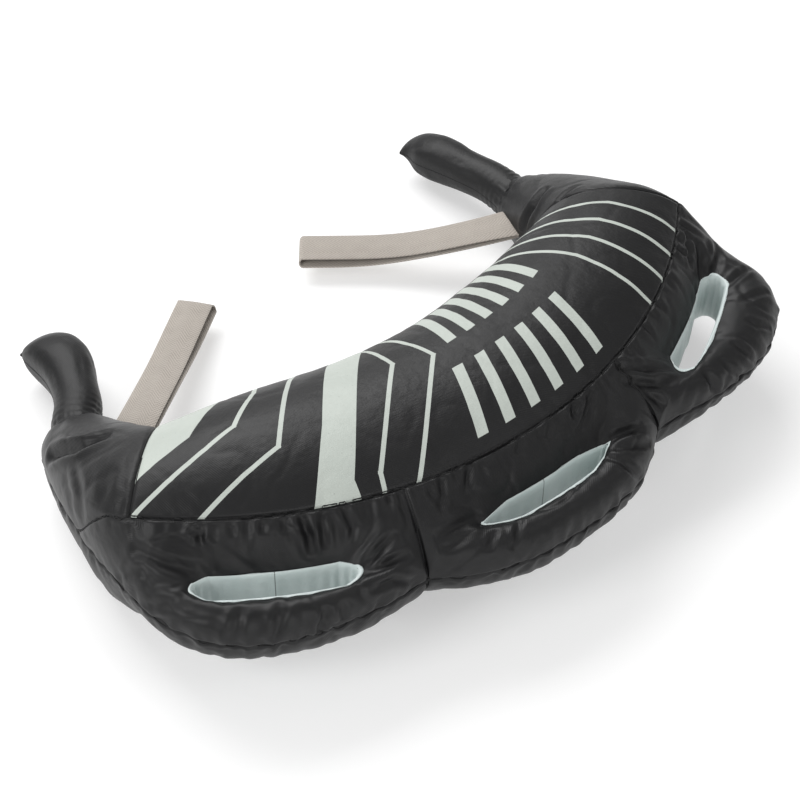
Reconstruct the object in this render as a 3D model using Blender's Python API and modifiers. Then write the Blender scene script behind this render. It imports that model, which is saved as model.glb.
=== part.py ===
"""Bulgarian bag: a sand-filled crescent with three padded hand loops along its outer bend,
two stuffed grips and two webbing wrist straps at its ends. Each panel, liner, filling and
strap is its own solid.

The bag lies on its flat bottom. +Z is up, the plane X = 0 runs through the middle loop, the
loops point to -Y and the grips and straps to +Y. The origin is on the flat bottom, under the
middle of the sand body. Lengths are in metres and angles in degrees.
"""
import bpy
import math
from mathutils import Vector

# Sand body
seam_radius = 0.480          # plan radius of the main seam round the centre of the bend
seam_height = 0.153          # main seam above the floor
middle_width = 0.204         # main seam to the back edge, at the middle
end_width = 0.147            # the same at an end seam
crown_rise = 0.019           # top of the body above the main seam, at the middle
end_crown_rise = 0.005       # the same at an end seam
mid_height = 0.086           # perimeter seams above the floor
body_angle = 45.0            # end seam, from the middle
loop_angle = 15.6            # meeting of two loops, from the middle

# Hand loops
middle_slot_reach = 0.036    # main seam to the middle of the slot, in plan
side_slot_reach = 0.045
middle_slot_length = 0.157
side_slot_length = 0.148
slot_width = 0.026           # clear opening inside the liner
slot_rise = 0.026            # slot's rim above the perimeter seam
loop_half_thickness = 0.031
meeting_reach = 0.057        # main seam to the perimeter where two loops meet
left_end_reach = 0.037       # the same at the end seams
right_end_reach = 0.050
middle_loop_swell = 0.027    # how far a loop stands out beyond its two edges
left_loop_swell = 0.046
right_loop_swell = 0.070
seam_puff = 0.007            # swelling between the main seam and a slot

# Grips
left_root_inset = 0.1607     # main seam's plan radius to the middle of the root
right_root_inset = 0.1491
root_height = 0.045
left_grip_length = 0.1562    # root to blunt end, in plan
right_grip_length = 0.1498
grip_droop = 0.0125          # fall of the blunt end below the root
ball_radius = 0.0265         # rounded root that turns in the opening of the end panels
neck_radius = 0.0235
bulb_radius = 0.0315
bulb_rounding = 0.036        # length over which the blunt end closes
root_hole_radius = 0.005     # opening of the covers at the inner end

# Wrist straps
webbing_width = 0.038
webbing_thickness = 0.0016
strap_reach = 0.4008         # main seam's plan radius to the middle of the far end
strap_tip_height = 0.023
strap_gap = 0.0060           # between the two plies at the far end
strap_root_gap = 0.0004      # between them at the root
strap_sag = 0.012

# Cloth, fillings and clearances
cover_thickness = 0.0012
liner_thickness = 0.0010
liner_stand = 0.0012         # liner's edge above the cover
seam_groove = 0.0010         # between two panels along a seam
blunt_gap = 0.0026           # between a grip's two halves where they close at its end
seat_gap = 0.0004            # between a filling, liner or strap and what carries it
sack_gap = 0.0006            # between a sand sack and the panels round it
ball_gap = 0.0017            # running gap round the root of a grip

# Facet counts
seam_steps = 8               # along the main seam of one loop
rim_steps = 10               # along the perimeter of one loop
meeting_steps = 3            # from the main seam down to the perimeter
cover_rings = 5              # from a slot's rim to the edge of its cover
crown_steps = 6              # across the body, seam to back edge
end_steps = 5                # from the end seam to the root of a grip
ball_steps = 4
neck_steps = 3
bulb_steps = 3
grip_steps = 6
liner_steps = 2
strap_steps = 9
strap_columns = 3
roll_steps = 4               # round each end of a strap's loop

# Shares of the sizes above, and angles, chosen by eye
floor_share = 0.48           # share of the crown's rise over which the underside reaches the floor
front_share = 0.20           # how soon the crown turns back from the main seam
slope_share = 1.30           # roundness of the line where two loops meet
swell_share = 0.75           # fullness of a loop's outline
skew_share = 1.25            # how far the side loops lean towards the ends
left_root_angle = 62.8       # root of the left grip round the bend, from the middle
right_root_angle = 63.8
left_grip_lean = 18.7        # how far the left grip turns inwards from +Y
right_grip_lean = 8.8
strap_tip_angle = 62.1       # far end of a strap round the bend
corner_angle = 22.0          # part of a slot's rim that faces each end of its loop
strip_angle = 28.0           # part of a root's opening that the loop's cover reaches
leave_share = 0.75           # how straight an end leaves its end seam
tuck_share = 0.42            # how far an end swells before its opening
edge_share = 0.80            # how far a loop's filling reaches into the edge of its cover
sack_shares = (0.2, 0.4)     # sections of an outer sack inside the end of the body
blunt_share = 0.25           # narrowing of a grip's blunt end
strap_share = 0.55           # place of a strap along the back edge of an end
fade_share = 0.30            # length over which a strap turns square to its run

# Derived sizes
bend_y = seam_radius - middle_width / 2
belly_share = mid_height / (seam_height + floor_share * crown_rise - mid_height)
opening_radius = ball_radius + ball_gap
filling_inset = cover_thickness + seat_gap
sack_inset = cover_thickness + sack_gap

side_names = {-1: "left", 0: "middle", 1: "right"}
loop_swells = {-1: left_loop_swell, 0: middle_loop_swell, 1: right_loop_swell}
end_reaches = {-1: left_end_reach, 1: right_end_reach}
root_places = {-1: (left_root_inset, left_root_angle), 1: (right_root_inset, right_root_angle)}
grip_lines = {-1: (left_grip_length, left_grip_lean), 1: (right_grip_length, right_grip_lean)}


# Scene and materials

def clear_scene():
    """Remove what the file starts with."""
    for item in list(bpy.data.objects):
        bpy.data.objects.remove(item, do_unlink=True)


def make_material(name, color, roughness):
    """A plain cloth or filling material."""
    material = bpy.data.materials.new(name)
    material.use_nodes = True
    shader = material.node_tree.nodes["Principled BSDF"]
    shader.inputs["Base Color"].default_value = (*color, 1.0)
    shader.inputs["Roughness"].default_value = roughness
    shader.inputs["Metallic"].default_value = 0.0
    return material


def facet(item):
    """Split each quad along its shorter diagonal, so that surfaces that face each other match."""
    split = item.modifiers.new("facets", "TRIANGULATE")
    split.quad_method = "SHORTEST_DIAGONAL"


def add_object(name, points, faces, material, inside, pivot=Vector((0, 0, 0))):
    """Make an object of these faces, which turn away from the point called inside."""
    mesh = bpy.data.meshes.new(name)
    mesh.from_pydata([point - pivot for point in points], [], faces)
    mesh.update()
    outward = sum((face.center + pivot - inside).dot(face.normal) * face.area for face in mesh.polygons)
    if outward < 0:
        mesh.flip_normals()
    mesh.materials.append(material)
    mesh.shade_smooth()
    mesh.set_sharp_from_angle(angle=math.radians(50))
    item = bpy.data.objects.new(name, mesh)
    item.location = pivot
    bag.objects.link(item)
    return item


def thicken(item, thickness, inward=1.0):
    """Give an open panel its thickness, towards its inner side or shared by both sides."""
    shell = item.modifiers.new("thickness", "SOLIDIFY")
    shell.thickness = thickness
    shell.offset = -inward
    shell.use_rim = True
    facet(item)


# Grids of points

def mix(low, high, share):
    """A number or point between two others."""
    return low + (high - low) * share


def steps(count):
    """Even shares from 0 to 1."""
    return [step / count for step in range(count + 1)]


def middle_of(points):
    """The mean of some points."""
    return sum(points, Vector((0, 0, 0))) / len(points)


def flatten(grid):
    """The points of a grid as one list."""
    return [point for row in grid for point in row]


def turned(grid):
    """A grid with its rows as columns."""
    return [list(row) for row in zip(*grid)]


def grid_faces(rows, columns, rows_joined=False, columns_joined=False):
    """Quads of a grid whose points are stored row by row, open or closed each way."""
    faces = []
    for row in range(rows if rows_joined else rows - 1):
        following = (row + 1) % rows
        for column in range(columns if columns_joined else columns - 1):
            beside = (column + 1) % columns
            faces.append((row * columns + column, following * columns + column,
                          following * columns + beside, row * columns + beside))
    return faces


def add_panel(name, grid, material, inside, thickness, joined=False, pivot=Vector((0, 0, 0))):
    """An open sheet of cloth with its thickness."""
    faces = grid_faces(len(grid), len(grid[0]), rows_joined=joined)
    panel = add_object(name, flatten(grid), faces, material, inside, pivot)
    thicken(panel, thickness)


def add_loft(name, rings, material, pivot=Vector((0, 0, 0))):
    """A closed solid through some rings of points."""
    count = len(rings[0])
    points = flatten(rings)
    faces = grid_faces(len(rings), count, columns_joined=True)
    points += [middle_of(rings[0]), middle_of(rings[-1])]
    start, end = len(points) - 2, len(points) - 1
    last = (len(rings) - 1) * count
    for column in range(count):
        beside = (column + 1) % count
        faces.append((start, column, beside))
        faces.append((end, last + beside, last + column))
    facet(add_object(name, points, faces, material, middle_of(points), pivot))


def drawn_to(point, neighbour, distance):
    """A point moved towards its neighbour."""
    return point + (neighbour - point).normalized() * distance


def leave_groove(grid, rows=()):
    """Draw the sides of a grid, and its end rows named, in by half of the groove along a seam."""
    half = seam_groove / 2
    for row in grid:
        row[0], row[-1] = drawn_to(row[0], row[1], half), drawn_to(row[-1], row[-2], half)
    for row, beside in rows:
        grid[row] = [drawn_to(point, beyond, half) for point, beyond in zip(grid[row], grid[beside])]


def inset_grid(grid, distance, inside):
    """A grid, closed from its last row to its first, moved inwards along its normals."""
    count = len(grid)
    normals = []
    for index, row in enumerate(grid):
        before, after = grid[index - 1], grid[(index + 1) % count]
        for column in range(len(row)):
            along = row[min(column + 1, len(row) - 1)] - row[max(column - 1, 0)]
            normals.append((after[column] - before[column]).cross(along).normalized())
    points = flatten(grid)
    outward = sum((point - inside).dot(normal) for point, normal in zip(points, normals))
    reach = math.copysign(distance, outward)
    moved = [point - normal * reach for point, normal in zip(points, normals)]
    width = len(grid[0])
    return [moved[index * width:(index + 1) * width] for index in range(count)]


def inset_ring(ring, distance):
    """A closed ring of points drawn in, in its own plane, by an even distance from its sides."""
    middle = middle_of(ring)
    following = ring[1:] + ring[:1]
    normal = sum(((point - middle).cross(after - middle) for point, after in zip(ring, following)),
                 Vector((0, 0, 0)))
    sides = [(after - point).cross(normal).normalized() for point, after in zip(ring, following)]
    moved = []
    for point, before, after in zip(ring, sides[-1:] + sides[:-1], sides):
        moved.append(point - (before + after) * distance / (1 + before.dot(after)))
    return moved


# Form of the body

def around(radius, angle, height):
    """A point at a plan radius and angle round the centre of the bend."""
    turn = math.radians(angle)
    return Vector((radius * math.sin(turn), bend_y - radius * math.cos(turn), height))


def under(point):
    """The point of the lower side below a point of the upper side, never below the floor."""
    return Vector((point.x, point.y, max(0.0, mid_height - belly_share * (point.z - mid_height))))


def bezier(corners, share):
    """A point of the Bezier curve with these corners."""
    while len(corners) > 1:
        corners = [mix(first, second, share) for first, second in zip(corners, corners[1:])]
    return corners[0]


def crown_line(angle):
    """Points across the top of the body, from the main seam to the back edge."""
    share = (angle / body_angle) ** 2
    width = mix(middle_width, end_width, share)
    top_height = seam_height + mix(crown_rise, end_crown_rise, share)
    crown_height = (8 * top_height - seam_height - mid_height) / 6
    back = seam_radius - width
    corners = [
        around(seam_radius, angle, seam_height),
        around(seam_radius - front_share * width, angle, crown_height),
        around(back, angle, crown_height),
        around(back, angle, mid_height),
    ]
    return [bezier(corners, share) for share in steps(crown_steps)]


def meeting_line(angle, reach):
    """Points from the main seam down to the perimeter, where a loop meets its neighbour."""
    points = []
    for step in steps(meeting_steps):
        share = math.sin(math.radians(90) * step)
        drop = (1 - share ** slope_share) ** (1 / slope_share)
        points.append(around(seam_radius + reach * share, angle, mix(mid_height, seam_height, drop)))
    return points


def sack_ring(above, below, outer):
    """A closed section from its upper points, the matching lower points and an outer point."""
    return inset_ring(above + list(reversed(below[:-1])) + [outer], sack_inset)


# Hand loops

class Loop:
    """The plan and edges of one hand loop, between two angles round the bend."""

    def __init__(self, side):
        self.side = side
        self.name = side_names[side]
        self.swell = loop_swells[side]
        if side:
            self.first, self.last = side * loop_angle, side * body_angle
            self.reaches = (meeting_reach, end_reaches[side])
            self.skew = skew_share
            self.slot_reach, self.slot_length = side_slot_reach, side_slot_length
        else:
            self.first, self.last = -loop_angle, loop_angle
            self.reaches = (meeting_reach, meeting_reach)
            self.skew = 1
            self.slot_reach, self.slot_length = middle_slot_reach, middle_slot_length
        self.middle = around(seam_radius + self.slot_reach, mix(self.first, self.last, 0.5), mid_height)

    def stations(self):
        """Angles of the sections along the loop's main seam."""
        return [mix(self.first, self.last, share) for share in steps(seam_steps)]

    def perimeter(self, share):
        """A point of the perimeter seam, from the first angle to the last."""
        bump = abs(math.sin(math.pi * share ** self.skew)) ** swell_share
        reach = mix(*self.reaches, share) + self.swell * bump
        return around(seam_radius + reach, mix(self.first, self.last, share), mid_height)

    def edge(self):
        """Points round the edge of the loop's cover: up, along the main seam, down and back."""
        up = list(reversed(meeting_line(self.first, self.reaches[0])))
        seam = [around(seam_radius, angle, seam_height) for angle in self.stations()]
        down = meeting_line(self.last, self.reaches[1])
        back = [self.perimeter(1 - share) for share in steps(rim_steps)]
        return up[:-1] + seam[:-1] + down[:-1] + back[:-1]

    def rim(self, widening, height):
        """Points round the slot, each facing its point of the edge."""
        turns = [mix(180 + corner_angle, 180 - corner_angle, share) for share in steps(meeting_steps)[:-1]]
        turns += [mix(180 - corner_angle, corner_angle, share) for share in steps(seam_steps)[:-1]]
        turns += [mix(corner_angle, -corner_angle, share) for share in steps(meeting_steps)[:-1]]
        turns += [mix(-corner_angle, corner_angle - 180, share) for share in steps(rim_steps)[:-1]]
        middle = mix(self.first, self.last, 0.5)
        radius = seam_radius + self.slot_reach
        along = math.degrees((self.slot_length / 2 + widening) / radius) * (self.side or 1)
        across = slot_width / 2 + widening
        points = []
        for turn in turns:
            cosine, sine = math.cos(math.radians(turn)), math.sin(math.radians(turn))
            points.append(around(radius - across * sine, middle + along * cosine, height))
        return points

    def cover_grid(self, upper):
        """The cover from the slot's rim to its edge, one row of points for each spoke."""
        rim = self.rim(liner_thickness + seat_gap, mid_height + slot_rise)
        start = math.pi - math.asin(slot_rise / loop_half_thickness)
        grid = []
        for inner, outer in zip(rim, self.edge()):
            part = (outer.z - mid_height) / (seam_height - mid_height)
            row = []
            for share in steps(cover_rings):
                turn = start * (1 - share)
                round_share = (math.cos(turn) - math.cos(start)) / (1 - math.cos(start))
                round_height = mix(mid_height, outer.z, share) + loop_half_thickness * math.sin(turn)
                steep_height = mix(inner.z, outer.z, share) + seam_puff * math.sin(math.pi * share)
                point = mix(inner, outer, mix(round_share, share, part))
                point.z = mix(round_height, steep_height, part)
                row.append(point if upper else under(point))
            grid.append(row)
        return grid


# Ends of the body

class End:
    """One end of the body, between its end seam and the root of its grip."""

    def __init__(self, side):
        self.side = side
        self.name = side_names[side]
        inset, angle = root_places[side]
        length, lean = grip_lines[side]
        self.root = around(seam_radius - inset, side * angle, root_height)
        inwards = -side * length * math.sin(math.radians(lean))
        self.tip = self.root + Vector((inwards, length * math.cos(math.radians(lean)), -grip_droop))
        self.axis = (self.tip - self.root).normalized()
        self.out = Vector((self.axis.y, -self.axis.x, 0)).normalized() * side
        self.up = self.out.cross(self.axis).normalized() * side

    def opening(self, angle):
        """A point of the round opening for the grip, from its outer side at 0."""
        turn = math.radians(angle)
        return self.root + (self.out * math.cos(turn) + self.up * math.sin(turn)) * opening_radius

    def line(self, first, last, lean, shares):
        """Points from the end seam to the opening; lean 1 leaves along the bend, 0 along +Y."""
        turn = math.radians(body_angle)
        bend = Vector((self.side * math.cos(turn), math.sin(turn), 0))
        span = (last - first).length
        leave = mix(Vector((0, 1, 0)), bend, lean).normalized() * span * leave_share
        arrive = (self.root - last).normalized() * span * tuck_share
        points = []
        for share in shares:
            square, cube = share ** 2, share ** 3
            point = (first * (2 * cube - 3 * square + 1) + leave * (cube - 2 * square + share)
                     + last * (3 * square - 2 * cube) + arrive * (cube - square))
            point.z = max(0.0, point.z)
            points.append(point)
        return points

    def rows(self, starts, angles, leans, upper, shares):
        """Rows across an end, at these shares of the way to the opening."""
        lines = []
        for start, angle, lean in zip(starts, angles, leans):
            first = start if upper else under(start)
            last = self.opening(angle if upper else -angle)
            lines.append(self.line(first, last, lean, shares))
        return turned(lines)

    def strip(self, upper, shares):
        """Rows of the side strip, from the main seam to the perimeter seam."""
        starts = meeting_line(self.side * body_angle, end_reaches[self.side])
        leans = [1 - share for share in steps(meeting_steps)]
        return self.rows(starts, [strip_angle * lean for lean in leans], leans, upper, shares)

    def cap(self, upper, shares):
        """Rows of the end panel, from the main seam to the back edge."""
        starts = crown_line(self.side * body_angle)
        angles = [mix(strip_angle, 180, share) for share in steps(crown_steps)]
        return self.rows(starts, angles, [1] * len(starts), upper, shares)

    def grip_sections(self):
        """Sections of the grip: distance from the root, half width and half height."""
        length = (self.tip - self.root).length
        hole = math.asin(root_hole_radius / ball_radius)
        neck = math.pi - math.asin(neck_radius / ball_radius)
        sections = []
        for share in steps(ball_steps):
            turn = mix(hole, neck, share)
            radius = ball_radius * math.sin(turn)
            sections.append((-ball_radius * math.cos(turn), radius, radius))
        shoulder = length - bulb_rounding
        for share in steps(neck_steps)[1:]:
            radius = mix(neck_radius, bulb_radius, share * share * (3 - 2 * share))
            sections.append((mix(-ball_radius * math.cos(neck), shoulder, share), radius, radius))
        for share in steps(bulb_steps)[1:]:
            turn = math.radians(90) * share
            wide = bulb_radius * (1 - blunt_share * math.sin(turn) ** 3)
            sections.append((shoulder + bulb_rounding * math.sin(turn), wide, bulb_radius * math.cos(turn)))
        return sections

    def grip_point(self, along, across, height):
        """A point of the grip, from its root."""
        return self.root + self.axis * along + self.out * across + self.up * height

    def grip_half(self, sign):
        """Rows of the grip's cover above (sign 1) or below (sign -1) its side seams."""
        rows = []
        sections = self.grip_sections()
        for along, wide, tall in sections:
            clear = (blunt_gap if along == sections[-1][0] else seam_groove) / 2
            row = []
            for share in steps(grip_steps):
                height = max(tall * math.sin(math.pi * share), clear)
                row.append(self.grip_point(along, wide * math.cos(math.pi * share), sign * height))
            rows.append(row)
        return rows

    def grip_rings(self):
        """Closed rings of points along the grip."""
        count = 2 * grip_steps
        turns = [2 * math.pi * step / count for step in range(count)]
        return [[self.grip_point(along, wide * math.cos(turn), tall * math.sin(turn)) for turn in turns]
                for along, wide, tall in self.grip_sections()]


# Pieces of the body

def build_body_panel(upper, cloth):
    """The top panel or the bottom panel, between the end seams."""
    left, middle, right = Loop(-1), Loop(0), Loop(1)
    angles = list(reversed(left.stations())) + middle.stations()[1:] + right.stations()[1:]
    grid = [crown_line(angle) for angle in angles]
    if not upper:
        grid = [[under(point) for point in row] for row in grid]
    leave_groove(grid, ((0, 1), (-1, -2)))
    inside = around(seam_radius - middle_width / 2, 0, mid_height)
    add_panel("top_panel" if upper else "bottom_panel", grid, cloth, inside, cover_thickness)


def build_end_panel(end, upper, cloth):
    """The panel that closes an end of the body above or below its grip."""
    grid = end.cap(upper, steps(end_steps))
    leave_groove(grid, ((0, 1),))
    name = end.name + ("_end_upper_panel" if upper else "_end_lower_panel")
    start = around(seam_radius - end_width / 2, end.side * body_angle, mid_height)
    add_panel(name, grid, cloth, mix(start, end.root, 0.5), cover_thickness)


def build_loop_cover(loop, upper, cloth):
    """The cover of a hand loop round its slot; a side loop's cover also reaches round its end."""
    grid = loop.cover_grid(upper)
    corner = meeting_steps + seam_steps
    for index, row in enumerate(grid):
        if not (loop.side and corner < index < corner + meeting_steps):
            row[-1] = drawn_to(row[-1], row[-2], seam_groove / 2)
    points = flatten(grid)
    faces = grid_faces(len(grid), cover_rings + 1, rows_joined=True)
    if loop.side:
        rows = End(loop.side).strip(upper, steps(end_steps)[1:])
        leave_groove(rows)
        previous = [(corner + step) * (cover_rings + 1) + cover_rings for step in range(meeting_steps + 1)]
        for row in rows:
            following = list(range(len(points), len(points) + len(row)))
            points += row
            for step in range(meeting_steps):
                faces.append((previous[step], previous[step + 1], following[step + 1], following[step]))
            previous = following
    name = loop.name + ("_handle_upper_cover" if upper else "_handle_lower_cover")
    thicken(add_object(name, points, faces, cloth, loop.middle), cover_thickness)


def build_liner(loop, cloth):
    """The sleeve of lining cloth through a slot."""
    top = mid_height + slot_rise + liner_stand
    foot = mid_height - belly_share * slot_rise - liner_stand
    bands = [loop.rim(liner_thickness, mix(top, foot, share)) for share in steps(liner_steps)]
    add_panel(loop.name + "_handle_liner", turned(bands), cloth, loop.middle, liner_thickness, joined=True)


def build_loop_filling(loop, stuffing):
    """The soft ring inside a hand loop."""
    above = inset_grid(loop.cover_grid(True), filling_inset, loop.middle)
    below = inset_grid(loop.cover_grid(False), filling_inset, loop.middle)
    rows = []
    for top, foot in zip(above, below):
        top[-1], foot[-1] = mix(top[-2], top[-1], edge_share), mix(foot[-2], foot[-1], edge_share)
        rows.append(top + list(reversed(foot)))
    faces = grid_faces(len(rows), len(rows[0]), rows_joined=True, columns_joined=True)
    facet(add_object(loop.name + "_handle_filling", flatten(rows), faces, stuffing, loop.middle))


def build_sand_sack(loop, cloth):
    """An inner sack of sand; the outer two reach into the ends of the body."""
    rings = []
    for angle in loop.stations():
        top = crown_line(angle)
        rings.append(sack_ring(top, [under(point) for point in top], around(seam_radius, angle, mid_height)))
    if loop.side:
        end = End(loop.side)
        sections = zip(end.cap(True, sack_shares), end.cap(False, sack_shares), end.strip(True, sack_shares))
        rings += [sack_ring(top, foot, strip[-1]) for top, foot, strip in sections]
    centers = [middle_of(ring) for ring in rings]
    for row, beside in ((0, 1), (-1, -2)):
        shift = (centers[beside] - centers[row]).normalized() * seat_gap
        rings[row] = [point + shift for point in rings[row]]
    add_loft(loop.name + "_sand_sack", rings, cloth)


# Grips and straps

def build_grip(end, cloth, stuffing):
    """The two halves of a grip's cover, above and below its side seams, and its stuffing."""
    middle = mix(end.root, end.tip, 0.5)
    for sign, name in ((1, "_grip_upper_cover"), (-1, "_grip_lower_cover")):
        add_panel(end.name + name, end.grip_half(sign), cloth, middle, cover_thickness, pivot=end.root)
    inner = turned(inset_grid(turned(end.grip_rings()), filling_inset, middle))[1:-1]
    add_loft(end.name + "_grip_filling", inner, stuffing, end.root)


def strap_root(end):
    """Where the inner fold of a strap meets the back edge of an end, and the way it runs."""
    shares = (strap_share - fade_share / 2, strap_share, strap_share + fade_share / 2)
    before, seat, after = [row[-1] for row in end.cap(True, shares)]
    root_line = Vector((after.x - before.x, after.y - before.y, 0)).normalized()
    outward = Vector((-root_line.y, root_line.x, 0)) * end.side
    return seat + outward * (webbing_thickness + strap_root_gap / 2 + seat_gap), root_line


def strap_path(run, fall):
    """Distance and height of points along a strap's loop, from the root out and back."""
    def half_gap(share):
        return (mix(strap_root_gap, strap_gap, share ** 0.5) + webbing_thickness) / 2

    def ply(share, side):
        height = -fall * share - strap_sag * math.sin(math.pi * share)
        return share * (run - half_gap(1)), height + side * half_gap(share)

    def roll(share, facing):
        along, height = ply(share, 0)
        turns = [math.pi * (0.5 - step) for step in steps(roll_steps)[1:-1]]
        return [(along + facing * half_gap(share) * math.cos(turn),
                 height + facing * half_gap(share) * math.sin(turn)) for turn in turns]

    out = [ply(share, 1) for share in steps(strap_steps)]
    home = [ply(share, -1) for share in reversed(steps(strap_steps))]
    return out + roll(1, 1) + home + roll(0, -1)


def build_strap(end, webbing):
    """A folded loop of webbing, sewn into the back edge of an end and laid out level."""
    pivot, root_line = strap_root(end)
    tip = around(seam_radius - strap_reach, end.side * strap_tip_angle, strap_tip_height)
    ahead = Vector((tip.x - pivot.x, tip.y - pivot.y, 0))
    run = ahead.length
    ahead.normalize()
    wide = Vector((ahead.y, -ahead.x, 0)) * end.side
    skew = root_line.dot(ahead) / root_line.dot(wide)
    grid = []
    for along, height in strap_path(run, pivot.z - tip.z):
        fade = max(0.0, 1 - max(along, 0.0) / (run * fade_share)) ** 2
        row = []
        for share in steps(strap_columns):
            across = (share - 0.5) * webbing_width
            row.append(pivot + ahead * (along + across * skew * fade) + wide * across
                       + Vector((0, 0, height)))
        grid.append(row)
    faces = grid_faces(len(grid), strap_columns + 1, rows_joined=True)
    points = flatten(grid)
    thicken(add_object(end.name + "_wrist_strap", points, faces, webbing, middle_of(points), pivot),
            webbing_thickness, inward=0.0)


def build_bag():
    """Every piece of the bag."""
    coated_cloth = make_material("coated_cloth", (0.02, 0.02, 0.022), 0.42)
    printed_cloth = make_material("printed_cloth", (0.03, 0.03, 0.033), 0.45)
    liner_cloth = make_material("liner_cloth", (0.50, 0.57, 0.56), 0.55)
    webbing = make_material("webbing", (0.50, 0.44, 0.38), 0.85)
    stuffing = make_material("stuffing", (0.80, 0.80, 0.77), 0.95)
    sack_cloth = make_material("sack_cloth", (0.62, 0.56, 0.45), 0.90)
    build_body_panel(True, printed_cloth)
    build_body_panel(False, coated_cloth)
    for side in side_names:
        loop = Loop(side)
        build_loop_cover(loop, True, coated_cloth)
        build_loop_cover(loop, False, coated_cloth)
        build_liner(loop, liner_cloth)
        build_loop_filling(loop, stuffing)
        build_sand_sack(loop, sack_cloth)
    for end in (End(-1), End(1)):
        build_end_panel(end, True, coated_cloth)
        build_end_panel(end, False, coated_cloth)
        build_grip(end, coated_cloth, stuffing)
        build_strap(end, webbing)


clear_scene()
bag = bpy.data.collections.new("bulgarian_bag")
bpy.context.scene.collection.children.link(bag)
build_bag()
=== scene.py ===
"""Scene of a bulgarian bag: sewn cloth covers over sand and padding, lined hand slots, stuffed grips
and wrist webbing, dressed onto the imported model. Lengths are in metres, angles in degrees."""
import math
import bpy
import numpy as np
from mathutils import Matrix, Vector, bvhtree, kdtree, noise


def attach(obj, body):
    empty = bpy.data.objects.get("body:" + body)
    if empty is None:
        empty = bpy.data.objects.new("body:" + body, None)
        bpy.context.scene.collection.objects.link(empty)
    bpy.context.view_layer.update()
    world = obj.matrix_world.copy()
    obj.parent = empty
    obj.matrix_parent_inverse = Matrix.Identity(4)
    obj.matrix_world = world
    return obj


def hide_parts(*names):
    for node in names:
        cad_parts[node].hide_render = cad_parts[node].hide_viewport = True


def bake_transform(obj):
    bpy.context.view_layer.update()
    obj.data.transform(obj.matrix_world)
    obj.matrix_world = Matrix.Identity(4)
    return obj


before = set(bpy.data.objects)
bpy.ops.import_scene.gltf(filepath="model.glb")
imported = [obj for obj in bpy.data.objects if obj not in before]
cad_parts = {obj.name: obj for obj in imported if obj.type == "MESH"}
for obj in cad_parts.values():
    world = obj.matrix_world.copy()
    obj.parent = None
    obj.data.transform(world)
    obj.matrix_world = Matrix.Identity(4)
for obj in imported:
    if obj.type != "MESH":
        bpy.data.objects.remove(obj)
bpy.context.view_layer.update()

sides = {-1: "left", 0: "middle", 1: "right"}

# Form of the body, in the model's own sizes
seam_radius, seam_height, mid_height = 0.480, 0.153, 0.086
middle_width, end_widths = 0.204, {-1: 0.139, 1: 0.147}
crown_rise, end_rises = 0.019, {-1: 0.008, 1: 0.012}
crown_bulges, back_bulges = {-1: 0.008, 1: 0.004}, {-1: 0.007, 1: 0.003}
body_angle, loop_angle, strip_angle, corner_angle = 45.0, 15.6, 28.0, 22.0
bend_y = seam_radius - middle_width / 2
belly_share, front_share, slope_share = 1.13, 0.20, 1.30
leave_shares, tuck_share, end_spread, seam_lift = {-1: 0.50, 1: 0.25}, 0.32, 0.88, 1.2

# Hand loops: outline as plan radii at angles from the middle, and slots
outlines = {
    -1: ((15.6, 0.537), (18, 0.545), (21.5, 0.555), (26.4, 0.567), (31.6, 0.573), (35, 0.572),
         (37.5, 0.566), (41.3, 0.547), (45, 0.517)),
    0: ((-15.6, 0.537), (-13, 0.548), (-9, 0.559), (-4, 0.564), (4, 0.565), (9, 0.560), (13, 0.549), (15.6, 0.537)),
    1: ((15.6, 0.537), (18.9, 0.546), (22.7, 0.564), (26, 0.579), (29, 0.590), (32.5, 0.599),
        (37, 0.601), (41, 0.585), (45, 0.532)),
}
slot_reaches, slot_lengths = {-1: 0.045, 0: 0.040, 1: 0.045}, {-1: 0.148, 0: 0.154, 1: 0.142}
slot_widths, slot_tips = {-1: 0.0265, 0: 0.0225, 1: 0.0270}, {-1: (0.20, 0.52), 0: (0.44, 0.62), 1: (0.16, 0.50)}
slot_rise, loop_half_thickness, seam_puff = 0.026, 0.031, 0.007

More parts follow.
